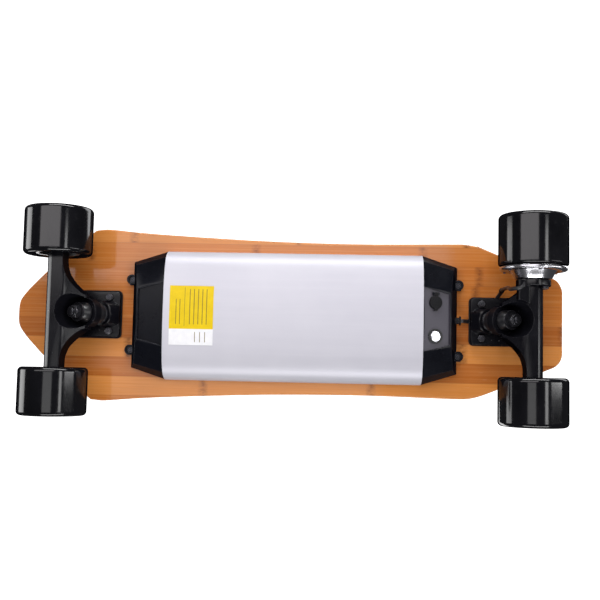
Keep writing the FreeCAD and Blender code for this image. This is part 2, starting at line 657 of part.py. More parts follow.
flange = cylinder(FLANGE_R, on_axle(-38.6), on_axle(-46.3))
flange = flange.makeFillet(1.2, circle_edges(flange, FLANGE_R, 0.2))
neck = cylinder(7.6, on_axle(-46.0), on_axle(-52.3))
arm = box(13.5, 27.0, 13.0, -20.0, -45.0, 24.0)
arm = arm.makeFillet(1.8, edges_along(arm, Y_DIR))
flange = join([flange, neck, arm]).cut(axle_hole)
flange = flange.cut(tube(LEAD_PATH, LEAD_R + 0.1)).cut(bowl).cut(rear_hanger)
flange = max(flange.Solids, key=lambda solid: solid.Volume)


def head_is_clear(degrees):
    head = cylinder(2.8, polar(SCREW_CIRCLE_R, -35.4, degrees),
                    polar(SCREW_CIRCLE_R, SCREW_SEAT_Y, degrees))
    return head.common(rear_hanger).Volume < 1e-6 and head.common(arm).Volume < 1e-6


# screws go only where their heads clear the hanger and the arm
screw_angles = [angle for angle in range(0, 360, 24) if head_is_clear(angle)]
flange = flange.cut(group([cylinder(SCREW_R + FIT, polar(SCREW_CIRCLE_R, -36, angle),
                                    polar(SCREW_CIRCLE_R, -45, angle))
                           for angle in screw_angles]))
save("motor_mount_flange", rear(flange))
save("motor_mount_screws", rear(group([
    cap_screw(polar(SCREW_CIRCLE_R, -35.8, angle), polar(SCREW_CIRCLE_R, SCREW_SEAT_Y, angle),
              polar(SCREW_CIRCLE_R, -44.9, angle), 2.7, SCREW_R, 2.5)
    for angle in screw_angles])))
save("motor_lead_cable", rear(tube(LEAD_PATH, LEAD_R)))

# ---------------------------------------------------------------- enclosure section
# half of the outside: (half width, height from the deck's underside)
ENC = [(ENC_HALF, 0.0), (78.2, -9.0), (76.0, -19.4), (69.6, -28.7), (57.6, -34.8),
       (39.0, -38.2), (18.5, -39.7), (0.0, -40.0)]


def arch(x, inset):
    """Points of the section from +y to -y, moved inwards by inset."""
    outline = ENC + [(-y, z) for y, z in ENC[-2::-1]]
    points = []
    for i, (y, z) in enumerate(outline):
        before = outline[max(i - 1, 0)]
        after = outline[min(i + 1, len(outline) - 1)]
        along = Vec(after[0] - before[0], after[1] - before[1], 0).normalize()
        in_y, in_z = -along.y, along.x
        if in_y * y + in_z * (z + 5.0) > 0:
            in_y, in_z = -in_y, -in_z
        points.append(Vec(x, y + in_y * inset, DECK_Z + z + in_z * inset))
    points[0].z = DECK_Z
    points[-1].z = DECK_Z
    return points


def arch_solid(x0, x1, inset, top=DECK_Z):
    points = arch(x0, inset)
    left, right = points[0], points[-1]
    curve = spline(points)
    if top > DECK_Z:
        left_top, right_top = Vec(x0, left.y, top), Vec(x0, right.y, top)
        edges = [Part.makeLine(left_top, left), curve, Part.makeLine(right, right_top),
                 Part.makeLine(right_top, left_top)]
    else:
        edges = [curve, Part.makeLine(right, left)]
    return Part.Face(Part.Wire(edges)).extrude(Vec(x1 - x0, 0, 0))


shell = arch_solid(SEAM_R, SEAM_F, 0.0)
shell = shell.cut(arch_solid(SEAM_R - 1, SEAM_F + 1, WALL, DECK_Z + 1.0))
# inturned feet against the deck
FOOT_W = 9.0
FOOT_OUT = ENC_HALF - WALL + 0.5
for y in (FOOT_OUT - FOOT_W, -FOOT_OUT):
    shell = shell.fuse(box(SEAM_F - SEAM_R, FOOT_W, WALL, SEAM_R, y, DECK_Z - WALL))
save("enclosure_shell", shell.removeSplitter())

# rating label on the underside of the section
LABEL_X0, LABEL_X1 = 86.0, 138.5
label = arch_solid(LABEL_X0, LABEL_X1, -0.22)
label = label.cut(arch_solid(LABEL_X0 - 1, LABEL_X1 + 1, -0.02, DECK_Z + 1))
save("info_label", label.common(box(200, 70.5, 60, LABEL_X0 - 1, -36.5, DECK_Z - 60)))

# ---------------------------------------------------------------- end caps
# faceted half sections at the seam and at the end: (half width, height from the deck)
CAP_SEAM = [(78.5, 0.0), (77.6, -13.0), (69.2, -29.2), (39.0, -38.6)]
CAP_END = [(64.5, 0.0), (63.8, -9.0), (57.5, -21.5), (30.4, -30.0)]
SEAM_GAP = 0.15
PANEL_SEAM_Z, PANEL_END_Z = DECK_Z - 37.1, DECK_Z - 29.6
PANEL_SEAM_HALF, PANEL_END_HALF = 38.4, 30.0


def section_between(part):
    return [(y0 + (y1 - y0) * part, z0 + (z1 - z0) * part)
            for (y0, z0), (y1, z1) in zip(CAP_SEAM, CAP_END)]


def section_wire(x, section, inset, top):
    half = [(max(y - inset, 1), min(z + inset, 0) if z < 0 else 0.0) for y, z in section]
    half[0] = (half[0][0], top)
    return polygon([Vec(x, y, DECK_Z + z) for y, z in half + [(-y, z) for y, z in half[::-1]]])


def cap_loft(x0, section0, x1, section1, inset=0.0, top=0.0):
    return Part.makeLoft([section_wire(x0, section0, inset, top),
                          section_wire(x1, section1, inset, top)], True, True)


def end_cap(seam, end):
    """Cap, height of its bottom panel as a function of x, and the panel's inward normal."""
    out = 1 if end > seam else -1
    start = seam + out * SEAM_GAP
    body = cap_loft(start, CAP_SEAM, end, CAP_END)
    hollow = cap_loft(start - out * 0.5, section_between(-0.01),
                      end - out * 3.0, section_between(0.93), WALL, 1.0)
    # sloping end face; (distance beyond the end, height from the deck)
    slope_off = [(0.01, 0.01), (30, 0.01), (30, -60), (-20.5, -60), (-1.0, -5.0)]
    beyond = prism([Vec(end + out * x, -90, DECK_Z + z) for x, z in slope_off],
                   Vec(0, 180, 0))
    inner_beyond = beyond.copy()
    inner_beyond.translate(Vec(-out * 3.0, 0, 0))
    body = body.cut(beyond)
    hollow = hollow.cut(inner_beyond)

    # shallow panel recess in the middle of the bottom
    panel_seam, panel_end = start - out * 1.0, end - out * 12.0
    slope = (PANEL_END_Z - PANEL_SEAM_Z) / (panel_end - start)

    def panel_z(x):
        return PANEL_SEAM_Z + (x - start) * slope

    corners = [(panel_seam, PANEL_SEAM_HALF), (panel_end, PANEL_END_HALF),
               (panel_end, -PANEL_END_HALF), (panel_seam, -PANEL_SEAM_HALF)]
    body = body.cut(prism([Vec(x, y, panel_z(x)) for x, y in corners], Vec(0, 0, -12)))
    # skin left over the panel
    xa, xb = panel_seam - out * 10, panel_end + out * 14
    skin = [(xa, WALL), (xb, WALL), (xb, -40), (xa, -40)]
    hollow = hollow.cut(prism([Vec(x, -60, panel_z(x) + rise) for x, rise in skin],
                              Vec(0, 120, 0)))
    cap = body.cut(hollow)

    # spigot that slides into the aluminium section, clear of its feet
    spigot = arch_solid(seam - out * 6.0, start + out * 1.0, WALL + 0.15)
    spigot = spigot.cut(arch_solid(seam - out * 8.0, start + out * 2.0, WALL + 2.15,
                                   DECK_Z + 1.0))
    spigot = spigot.cut(box(20, 200, WALL + 0.15, seam - 10 - out * 9.9, -100,
                            DECK_Z - WALL - 0.15))
    # two round screw bosses at the end, tied in by flat blocks
    ear_x = end + out * EAR_OUT
    block_x = end - 5.0 if out > 0 else end - 4.5
    ears = []
    for y in (EAR_Y, -EAR_Y):
        ears.append(upright(6.2, ear_x, y, DECK_Z - EAR_H, DECK_Z))
        ears.append(box(9.5, 12.4, 3.2, block_x, y - 6.2, DECK_Z - 3.2))
    cap = join([cap, spigot] + ears)
    for y in (EAR_Y, -EAR_Y):
        cap = cap.cut(upright(2.2, ear_x, y, DECK_Z - 10, DECK_Z + 1))
        cap = cap.cut(upright(3.9, ear_x, y, DECK_Z - 24, DECK_Z - 5.0))
    return cap, panel_z, Vec(-slope, 0, 1).normalize()


save("front_end_cap", end_cap(SEAM_F, CAP_F)[0])
rear_cap, rear_panel_z, INWARD = end_cap(SEAM_R, CAP_R)

# charge socket on the rider's left of the rear panel, power button on the right
CONTROL_X = SEAM_R - 14.4
CHARGE = Vec(CONTROL_X, 19.8, rear_panel_z(CONTROL_X))
BUTTON = Vec(CONTROL_X, -20.2, rear_panel_z(CONTROL_X))
OUTWARD = INWARD * -1
ALONG = Vec(INWARD.z, 0, -INWARD.x)    # along the panel, towards the nose
HINGE = CHARGE + Y_DIR * 10.6 + OUTWARD * 1.9
POST_R = 1.7

rear_cap = rear_cap.cut(cylinder(8.0, CHARGE - INWARD * 2, CHARGE + INWARD * 8))
rear_cap = rear_cap.cut(cylinder(7.6, BUTTON - INWARD * 2, BUTTON + INWARD * 10))
# moulded hinge posts and pin for the charge cap's strap
posts = []
for side in (-1, 1):
    near = HINGE + ALONG * (side * 2.3)
    posts.append(cylinder(POST_R, near, HINGE + ALONG * (side * 3.9)))
    posts.append(prism([near - Y_DIR * POST_R, near + Y_DIR * POST_R,
                        near + Y_DIR * POST_R + INWARD * 2.6,
                        near - Y_DIR * POST_R + INWARD * 2.6], ALONG * (side * 1.6)))
posts.append(cylinder(0.75, HINGE - ALONG * 3.0, HINGE + ALONG * 3.0))
rear_cap = join([rear_cap] + posts)
rear_cap = rear_cap.cut(cylinder(4.0, Vec(CAP_R - 10, 0, CABLE_Z),
                                 Vec(CAP_R + 12, 0, CABLE_Z)))
save("rear_end_cap", rear_cap)

grommet = join([
    cylinder(3.95, Vec(CAP_R - 1.0, 0, CABLE_Z), Vec(CAP_R + 6.5, 0, CABLE_Z)),
    cylinder(5.4, Vec(CAP_R - 3.4, 0, CABLE_Z), Vec(CAP_R - 1.85, 0, CABLE_Z))])
grommet = grommet.cut(tube(CABLE_PATH, CABLE_R + 0.04))
save("cable_grommet", grommet.cut(rear_cap))
save("deck_cable", tube(CABLE_PATH, CABLE_R))

# charge socket: flanged barrel behind the panel with a centre pin
socket = join([cylinder(7.9, CHARGE + INWARD * 0.2, CHARGE + INWARD * 1.4),
               cylinder(9.6, CHARGE + INWARD * (WALL + 0.1), CHARGE + INWARD * (WALL + 1.6)),
               cylinder(7.4, CHARGE + INWARD * 1.2, CHARGE + INWARD * 14)])
socket = socket.cut(cylinder(5.4, CHARGE - INWARD * 1, CHARGE + INWARD * 11))
save("charge_port_socket", join([
    socket, cylinder(0.9, CHARGE + INWARD * 5.2, CHARGE + INWARD * 12)]))

# rubber plug: lid, stem, strap to a knuckle on the hinge pin, and a pull tab
STRAP_HALF = 2.1
lid_top = CHARGE + OUTWARD * 2.8
lid = cylinder(7.7, CHARGE + OUTWARD * 0.25, lid_top)
lid = lid.makeFillet(0.9, edges_near(lid, lid_top, 0.3))
stem = cylinder(3.6, CHARGE + INWARD * 4.4, CHARGE + OUTWARD * 0.6)
strap_edge = [CHARGE + Y_DIR * 6.4 + OUTWARD * 1.0, CHARGE + Y_DIR * 6.4 + OUTWARD * 2.5,
              HINGE - Y_DIR * 0.6 + OUTWARD * 0.9, HINGE - Y_DIR * 1.2 + INWARD * 0.6]
strap = prism([point - ALONG * STRAP_HALF for point in strap_edge], ALONG * (2 * STRAP_HALF))
strap = strap.cut(cylinder(1.2, HINGE - ALONG * 5, HINGE + ALONG * 5))
knuckle = ring(1.6, 0.80, HINGE - ALONG * STRAP_HALF, HINGE + ALONG * STRAP_HALF)
# (distance to the right of the centre, height off the panel, distance back)
TAB = [(7.0, 0.8, 2.6), (7.0, 2.2, 2.6), (10.0, 1.8, 1.8), (10.0, 0.8, 1.8)]
tab = prism([CHARGE - Y_DIR * right + OUTWARD * off - ALONG * back
             for right, off, back in TAB], ALONG * 4.6)
save("charge_port_cap", join([lid, stem, strap, knuckle, tab]))

bezel = join([cylinder(8.9, BUTTON + OUTWARD * 1.2, BUTTON + OUTWARD * 0.02),
              cylinder(7.5, BUTTON + OUTWARD * 0.1, BUTTON + INWARD * 9.0)])
bezel = bezel.cut(cylinder(6.3, BUTTON + OUTWARD * 3, BUTTON + INWARD * 6.0))
save("power_button_bezel", bezel.cut(cylinder(3.0, BUTTON, BUTTON + INWARD * 12)))
button_top = BUTTON + OUTWARD * 1.9
button = cylinder(6.24, button_top, BUTTON + INWARD * 3.4)
button = button.makeFillet(0.6, edges_near(button, button_top, 0.3))
save("power_button", join([
    button, cylinder(2.9, BUTTON + INWARD * 3.2, BUTTON + INWARD * 8.4)]))

# screws through the end cap bosses into threaded inserts in the deck
save("deck_inserts", group([
    ring(INSERT_R, EAR_SCREW_R + FIT, Vec(x, y, DECK_Z + 0.1), Vec(x, y, DECK_Z + 8.8))
    for x, y in EAR_POINTS]))
save("enclosure_screws", group([
    cap_screw(Vec(x, y, DECK_Z - 8.4), Vec(x, y, DECK_Z - 5.02), Vec(x, y, DECK_Z + 8.0),
              3.5, EAR_SCREW_R, 2.5) for x, y in EAR_POINTS]))

# ---------------------------------------------------------------- battery
CELL_R, CELL_L = 9.2, 65.0
CELL_Z = DECK_Z - 2.6 - CELL_R - 0.1
CELL_Y = 0.6                  # inner ends of the cells
PITCH = 19.0
ROW = 10                      # cells on each side
CELL_X = SEAM_F - 14.0 - PITCH / 2    # foremost cell
cell_xs = [CELL_X - i * PITCH for i in range(ROW)]


def cell_rod(radius, x, y0, y1):
    return cylinder(radius, Vec(x, y0, CELL_Z), Vec(x, y1, CELL_Z))


save("battery_cells", group([cell_rod(CELL_R, x, side * CELL_Y, side * (CELL_Y + CELL_L))
                             for x in cell_xs for side in (1, -1)]))
cell_holes = group([cell_rod(CELL_R + 0.05, x, -80, 80) for x in cell_xs])
holders = []
for y0, y1 in ((-64.8, -58.8), (-6.4, -1.0), (1.0, 6.4), (58.8, 64.8)):
    holder = box(ROW * PITCH + 3, y1 - y0, 21.2,
                 CELL_X - (ROW - 0.5) * PITCH - 1.5, y0, CELL_Z - 10.6)
    holders.append(holder.cut(cell_holes))
save("battery_cell_holders", group(holders))

# management board below the cells, with a row of small and a row of large blocks
BOARD_Z = CELL_Z - CELL_R - 2.6
board = [box(96, 56, 1.6, CELL_X - 110, -28, BOARD_Z - 1.6)]
board += [box(6.4, 5.0, 2.1, CELL_X - 106 + k * 9.0, -22, BOARD_Z - 3.58) for k in range(10)]
board += [box(10, 9, 4.3, CELL_X - 104 + k * 15.0, 8, BOARD_Z - 5.78) for k in range(6)]
save("battery_management_board", join(board))

# ---------------------------------------------------------------- motor controller
CTRL_X = SEAM_R + 16
# heat spreader and board, then transistors, capacitors and a square block
control = [box(72, 110, 4.0, CTRL_X, -55, DECK_Z - 6.7),
           box(70, 104, 1.8, CTRL_X + 1, -52, DECK_Z - 8.4)]
control += [box(10.0, 9.0, 4.6, CTRL_X + 6, -48 + k * 16.5, DECK_Z - 12.9) for k in range(6)]
control += [upright(6.0, CTRL_X + 30 + 13.5 * (k % 2), -30 + 16 * (k // 2),
                    DECK_Z - 8.3, DECK_Z - 27.0) for k in range(4)]
control.append(box(12, 12, 3.0, CTRL_X + 34, 22, DECK_Z - 11.3))
save("motor_controller", join(control))

save("battery_leads", group([
    tube([Vec(CTRL_X + 71.0, y, DECK_Z - 16), Vec(CTRL_X + 78, y * 1.05, DECK_Z - 23.5),
          Vec(CTRL_X + 92, y * 1.1, DECK_Z - 29.6)], 1.7) for y in (36, 42)]))
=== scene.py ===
"""Electric skateboard seen from below, dressed over its CAD pieces.

The board lies along X with its front truck at +X, Y runs across it (left is +Y),
and Z is up with the wheels standing on z = 0. Lengths are in metres.
"""
import json, math
import bpy, bmesh
from mathutils import Vector, Matrix


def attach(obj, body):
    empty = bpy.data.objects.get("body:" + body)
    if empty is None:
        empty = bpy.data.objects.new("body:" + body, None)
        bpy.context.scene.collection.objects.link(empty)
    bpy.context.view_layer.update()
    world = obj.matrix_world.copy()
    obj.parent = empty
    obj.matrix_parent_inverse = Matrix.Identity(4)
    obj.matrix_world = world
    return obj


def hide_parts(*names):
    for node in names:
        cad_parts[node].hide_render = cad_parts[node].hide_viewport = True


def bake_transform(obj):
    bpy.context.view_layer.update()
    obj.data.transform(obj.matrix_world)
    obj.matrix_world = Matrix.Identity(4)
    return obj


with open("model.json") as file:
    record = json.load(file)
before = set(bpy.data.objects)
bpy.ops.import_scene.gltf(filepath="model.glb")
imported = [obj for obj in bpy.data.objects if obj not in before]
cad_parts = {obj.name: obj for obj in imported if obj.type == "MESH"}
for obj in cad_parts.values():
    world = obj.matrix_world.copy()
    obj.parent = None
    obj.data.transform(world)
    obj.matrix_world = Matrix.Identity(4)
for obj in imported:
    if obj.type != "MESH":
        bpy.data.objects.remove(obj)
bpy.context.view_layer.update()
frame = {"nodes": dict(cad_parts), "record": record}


scene = bpy.context.scene

# ------------------------------------------------------------------ shared dimensions
FRONT_AXLE_X = 0.2699
REAR_AXLE_X = -0.2864
WHEEL_RADIUS = 0.040
AXLE_HEIGHT = WHEEL_RADIUS
BOARD_HEIGHT = 0.0964   # level that heights on the board are measured down from

# ------------------------------------------------------------------ node helpers
MIDDLE = (0.3, 0.7)     # usual input ranges for turning noise into a mask
WIDE = (0.2, 0.8)
MATERIALS = {}


def empty_tree(owner):
    owner.use_nodes = True
    owner.node_tree.nodes.clear()
    return owner.node_tree


def add_node(tree, kind, inputs=None, **settings):
    """Add a node; inputs maps a socket's name or index to a value or an output socket."""
    node = tree.nodes.new(kind)
    for key, value in settings.items():
        setattr(node, key, value)
    for socket, value in (inputs or {}).items():
        if isinstance(value, bpy.types.NodeSocket):
            tree.links.new(value, node.inputs[socket])
        else:
            node.inputs[socket].default_value = value
    return node


def rgba(color):
    return color if isinstance(color, bpy.types.NodeSocket) else tuple(color) + (1,)


class Shader:
    """A Principled material with short methods for its node graph."""

    def __init__(self, name):
        self.material = bpy.data.materials.new(name)
        MATERIALS[name] = self.material
        self.tree = empty_tree(self.material)
        output = self.node("ShaderNodeOutputMaterial")
        self.surface = self.node("ShaderNodeBsdfPrincipled")
        self.tree.links.new(self.surface.outputs[0], output.inputs[0])
        self.coords = self.node("ShaderNodeTexCoord").outputs["Object"]

    def node(self, kind, inputs=None, **settings):
        return add_node(self.tree, kind, inputs, **settings)

    # arithmetic
    def math(self, operation, a, b=0.0, clamp=False):
        return self.node("ShaderNodeMath", {0: a, 1: b, 2: 0.0},
                         operation=operation, use_clamp=clamp).outputs[0]

    def plus(self, a, b, clamp=False):
        return self.math("ADD", a, b, clamp)

    def times(self, a, b):
        return self.math("MULTIPLY", a, b)

    def vary(self, value, base, amount, clamp=False):
        """base + value * amount"""
        return self.plus(base, self.times(value, amount), clamp)

    def less(self, value, limit):
        return self.math("LESS_THAN", value, limit)

    def cell(self, operation, value, size):
        """FLOOR gives the number of the cell that value falls in, FRACT the place in it."""
        return self.math(operation, self.math("DIVIDE", value, size))

    def span(self, value, over, to=(0.0, 1.0)):
        """Map the range over onto the range to, clamped."""
        return self.node("ShaderNodeMapRange",
                         {0: value, 1: over[0], 2: over[1], 3: to[0], 4: to[1]},
                         clamp=True).outputs[0]

    def seam(self, place, width):
        """1 at both ends of a cell, falling to 0 within width."""
        return self.math("MAXIMUM", self.span(place, over=(0.0, width), to=(1.0, 0.0)),
                         self.span(place, over=(1.0 - width, 1.0)))

    # coordinates and patterns
    def split(self, vector):
        return self.node("ShaderNodeSeparateXYZ", {0: vector}).outputs

    def xyz(self):
        return self.split(self.coords)

    def mapped(self, scale, turn=0.0):
        return self.node("ShaderNodeMapping", {0: self.coords, "Scale": scale,
                                               "Rotation": (0, 0, turn)}).outputs[0]

    def noise(self, scale=1.0, detail=4.0, rough=0.6, stretch=None, turn=0.0):
        """Noise; stretch is a frequency per axis, turned about Z by turn radians."""
        vector = self.mapped(stretch, turn) if stretch else self.coords
        return self.node("ShaderNodeTexNoise",
                         {"Vector": vector, "Scale": scale, "Detail": detail,
                          "Roughness": rough}).outputs[0]

    def white(self, value, dimensions="1D"):
        socket = "W" if dimensions == "1D" else "Vector"
        return self.node("ShaderNodeTexWhiteNoise", {socket: value},
                         noise_dimensions=dimensions).outputs["Value"]

    # colour
    def ramp(self, value, stops):
        node = self.node("ShaderNodeValToRGB", {0: value})
        elements = node.color_ramp.elements
        while len(elements) > 1:
            elements.remove(elements[-1])
        elements[0].position, elements[0].color = stops[0][0], rgba(stops[0][1])
        for position, color in stops[1:]:
            elements.new(position).color = rgba(color)
        return node.outputs[0]

    def mix(self, factor, a, b):
        return self.node("ShaderNodeMix", {0: factor, 6: rgba(a), 7: rgba(b)},
                         data_type="RGBA", blend_type="MIX").outputs[2]

    def cloudy(self, cloud, a, b):
        """Drift between two colours."""
        return self.mix(self.span(cloud, over=MIDDLE), a, b)

    def tint(self, under, value, over, amount, color):
        """Lay color on as value rises through the range over, up to amount."""
        return self.mix(self.span(value, over, to=(0.0, amount)), under, color)

    def paint(self, under, mask, amount, color):
        """Lay color on through a mask scaled by amount."""
        return self.mix(self.times(mask, amount), under, color)

    # relief and edges
    def bump(self, height, strength, depth, normal=None):
        inputs = {"Strength": strength, "Distance": depth, "Height": height}
        if normal is not None:
            inputs["Normal"] = normal
        return self.node("ShaderNodeBump", inputs).outputs[0]

    def round_edges(self, radius):
        return self.node("ShaderNodeBevel", {"Radius": radius}, samples=4).outputs[0]

    def edge_mask(self, radius, over=(0.02, 0.22)):
        """A mask that is 1 on corners and 0 on flats, and the rounded normal."""
        rounded = self.round_edges(radius)
        geometry = self.node("ShaderNodeNewGeometry")
        dot = self.node("ShaderNodeVectorMath", {0: rounded, 1: geometry.outputs["Normal"]},
                        operation="DOT_PRODUCT")
        bend = self.math("SUBTRACT", 1.0, dot.outputs["Value"])
        return self.span(bend, over), rounded

    def graze(self, spec, over):
        """Fade reflection towards the outline, so thin edges keep their own colour."""
        weight = self.node("ShaderNodeLayerWeight", {0: 0.5})
        return self.times(spec, self.span(weight.outputs[1], over, to=(1.0, 0.0)))

    def sides(self, rough, spec, side_spec):
        """Make upright walls duller than the faces that were rubbed or moulded smooth."""
        geometry = self.node("ShaderNodeNewGeometry")
        normal_z = self.split(geometry.outputs["True Normal"])[2]
        upright = self.span(self.math("ABSOLUTE", normal_z), over=(0.30, 0.62), to=(1.0, 0.0))
        side_rough = self.vary(upright, base=rough, amount=0.34, clamp=True)
        spec = self.span(upright, over=(0.0, 1.0), to=(spec, side_spec))
        return side_rough, self.graze(spec, over=(0.5, 0.82))

    def finish(self, color, rough, normal, metal=0.0, coat=None, coat_rough=None, spec=None):
        values = {"Base Color": color, "Roughness": rough, "Metallic": metal,
                  "Normal": normal, "Coat Weight": coat, "Coat Roughness": coat_rough,
                  "Specular IOR Level": spec}
        if coat is not None:
            values["Coat Normal"] = normal
        for key, value in values.items():
            if value is None:
                continue
            if isinstance(value, bpy.types.NodeSocket):
                self.tree.links.new(value, self.surface.inputs[key])
            else:
                self.surface.inputs[key].default_value = value


# ------------------------------------------------------------------ material kinds
def simple(name, base, dark, light, rough, metal=0.0, clouds=60.0, grain=1400.0, bump=0.15,
           depth=0.0002, edge=None, edge_radius=0.0006, coat=None, coat_rough=0.1, spec=None):
    """Colour broken up by broad clouds and fine grain, with uneven gloss and a small bump."""
    rough_swing = 0.12
    m = Shader(name)
    cloud = m.noise(clouds, detail=5.0)
    fine = m.noise(grain, detail=3.0, stretch=(1, 1, 1))
    color = m.cloudy(cloud, dark, base)
    color = m.tint(color, fine, over=(0.45, 0.75), amount=0.55, color=light)
    rough = m.vary(cloud, base=rough - rough_swing / 2, amount=rough_swing)
    rough = m.plus(rough, m.span(fine, over=(0.3, 0.8), to=(-0.02, 0.04)), clamp=True)
    rounded = None
    if edge is not None:
        mask, rounded = m.edge_mask(edge_radius)
        patches = m.span(m.noise(260.0, rough=0.7), over=(0.36, 0.6))
        color = m.mix(m.times(mask, patches), color, edge)
    m.finish(color, rough, m.bump(fine, bump, depth, rounded), metal, coat, coat_rough, spec)


def polished(name, dark, light, rough, stretch):
    """Bare metal with turning marks; rough is its lowest and highest roughness."""
    m = Shader(name)
    turning = m.noise(stretch=stretch)
    cloud = m.noise(40.0)
    color = m.cloudy(cloud, dark, light)
    mask, rounded = m.edge_mask(radius=0.0004)
    # painted highlight: every corner is lightened towards white, standing in for edge glints
    color = m.paint(color, mask, amount=0.3, color=(0.95, 0.95, 0.96))
    gloss = m.vary(turning, base=m.span(cloud, WIDE, to=rough), amount=0.05)
    m.finish(color, gloss, m.bump(turning, strength=0.10, depth=0.0001, normal=rounded),
             metal=1.0)


# ------------------------------------------------------------------ single materials
def bamboo():
    """Long strips side by side, each with its own tone, fine fibres and darker joints."""
    strip_width = 0.0236
    joint_spacing = 0.205
    m = Shader("bamboo")
    x, y, _ = m.xyz()
    wobble = m.math("SUBTRACT", m.noise(6.0, detail=2.0, rough=0.5), 0.5)
    across = m.vary(wobble, base=y, amount=0.0016)
    # the offsets 0.5 and 1.0 keep the counted lengths positive
    strip = m.cell("FLOOR", m.plus(across, 0.5), strip_width)
    place = m.cell("FRACT", m.plus(across, 0.5), strip_width)
    tone = m.white(strip)
    joint_shift = m.white(m.plus(strip, 71.3))
    fibre = m.noise(detail=6.0, rough=0.65, stretch=(14.0, 1500.0, 300.0))
    coarse = m.noise(stretch=(5.0, 420.0, 60.0))
    cloud = m.noise(9.0, detail=3.0, rough=0.5, stretch=(0.45, 1.6, 1.0))
    color = m.ramp(tone, [
        (0.0, (0.40, 0.108, 0.012)), (0.25, (0.48, 0.142, 0.019)),
        (0.6, (0.60, 0.200, 0.032)), (0.85, (0.71, 0.275, 0.060)),
        (1.0, (0.80, 0.375, 0.118))])
    color = m.tint(color, fibre, over=(0.3, 0.72), amount=0.45, color=(0.32, 0.085, 0.012))
    color = m.tint(color, coarse, over=(0.42, 0.7), amount=0.30, color=(0.70, 0.33, 0.110))
    color = m.tint(color, cloud, over=(0.3, 0.75), amount=0.26, color=(0.40, 0.135, 0.036))
    # growth joints across each strip, shifted from strip to strip
    along = m.cell("FRACT", m.vary(joint_shift, base=m.plus(x, 1.0), amount=0.21),
                   joint_spacing)
    distance = m.math("ABSOLUTE", m.math("SUBTRACT", along, 0.5))
    near = m.span(distance, over=(0.0, 0.034), to=(1.0, 0.0))
    speckle = m.noise(detail=3.0, stretch=(120.0, 260.0, 60.0))
    joint = m.times(near, m.span(speckle, over=(0.30, 0.62)))
    color = m.paint(color, joint, amount=0.78, color=(0.150, 0.040, 0.010))
    glue = m.seam(place, width=0.032)
    color = m.paint(color, glue, amount=0.30, color=(0.24, 0.072, 0.020))
    # short scuffs
    scuff = m.noise(detail=2.0, rough=0.4, stretch=(60.0, 900.0, 60.0), turn=0.5)
    color = m.tint(color, scuff, over=(0.73, 0.80), amount=0.22, color=(0.80, 0.55, 0.34))
    # pale sanded rim, where the surface turns away from level
    geometry = m.node("ShaderNodeNewGeometry")
    level = m.math("ABSOLUTE", m.split(geometry.outputs["Normal"])[2])
    rim = m.span(level, over=(0.2, 0.93), to=(0.55, 0.0))
    color = m.mix(rim, color, (0.80, 0.56, 0.33))
    # fibres stand proud, glue lines sink
    height = m.vary(glue, base=m.times(fibre, 0.4), amount=-0.8)
    normal = m.bump(height, strength=0.05, depth=0.0002, normal=m.round_edges(0.0016))
    m.finish(color, m.vary(coarse, base=0.30, amount=0.12), normal, coat=0.55,
             coat_rough=m.span(cloud, WIDE, to=(0.05, 0.12)), spec=0.12)


def core_plies():
    ply_thickness = 0.00172
    m = Shader("core_plies")
    z = m.xyz()[2]
    glue = m.seam(m.cell("FRACT", z, ply_thickness), width=0.10)
    fibre = m.noise(detail=5.0, stretch=(40.0, 40.0, 3000.0))
    layer = m.white(m.cell("FLOOR", z, ply_thickness))
    color = m.ramp(layer, [(0.0, (0.52, 0.32, 0.16)), (0.5, (0.66, 0.45, 0.26)),
                           (1.0, (0.78, 0.58, 0.38))])
    color = m.tint(color, fibre, over=(0.35, 0.7), amount=0.4, color=(0.42, 0.23, 0.10))
    color = m.paint(color, glue, amount=0.6, color=(0.24, 0.11, 0.045))
    m.finish(color, m.span(fibre, WIDE, to=(0.38, 0.55)),
             m.bump(m.plus(fibre, glue), strength=0.15, depth=0.0003),
             coat=0.25, coat_rough=0.3)


def grip():
    m = Shader("grip")
    grit = m.noise(2600.0, rough=0.75)
    cloud = m.noise(14.0)
    spark = m.white(m.mapped((2100.0, 2100.0, 2100.0)), "3D")
    color = m.cloudy(cloud, (0.018, 0.018, 0.020), (0.034, 0.034, 0.036))
    color = m.tint(color, grit, over=(0.55, 0.8), amount=0.7, color=(0.11, 0.11, 0.115))
    m.finish(color, m.span(spark, over=(0.85, 1.0), to=(0.92, 0.55)),
             m.bump(grit, strength=0.7, depth=0.0007))


def truck_black():
    """Satin powder coat, bright where corners have rubbed through."""
    m = Shader("truck_black")
    cloud = m.noise(35.0)
    peel = m.noise(900.0, detail=2.0, rough=0.5)
    color = m.cloudy(cloud, (0.0026, 0.0026, 0.0040), (0.0060, 0.0060, 0.0085))
    mask, rounded = m.edge_mask(radius=0.0006, over=(0.03, 0.24))
    worn = m.times(mask, m.span(m.noise(180.0, rough=0.7), over=(0.34, 0.62)))
    color = m.paint(color, worn, amount=0.5, color=(0.22, 0.22, 0.24))
    chips = m.span(m.noise(420.0, detail=2.0, rough=0.4), over=(0.775, 0.80))
    color = m.paint(color, chips, amount=0.5, color=(0.40, 0.40, 0.42))
    rough = m.vary(peel, base=m.span(cloud, WIDE, to=(0.15, 0.22)), amount=0.04)
    rough, spec = m.sides(rough, spec=0.24, side_spec=0.05)
    m.finish(color, rough, m.bump(peel, strength=0.10, depth=0.00012, normal=rounded),
             metal=m.times(worn, 0.5), spec=spec)


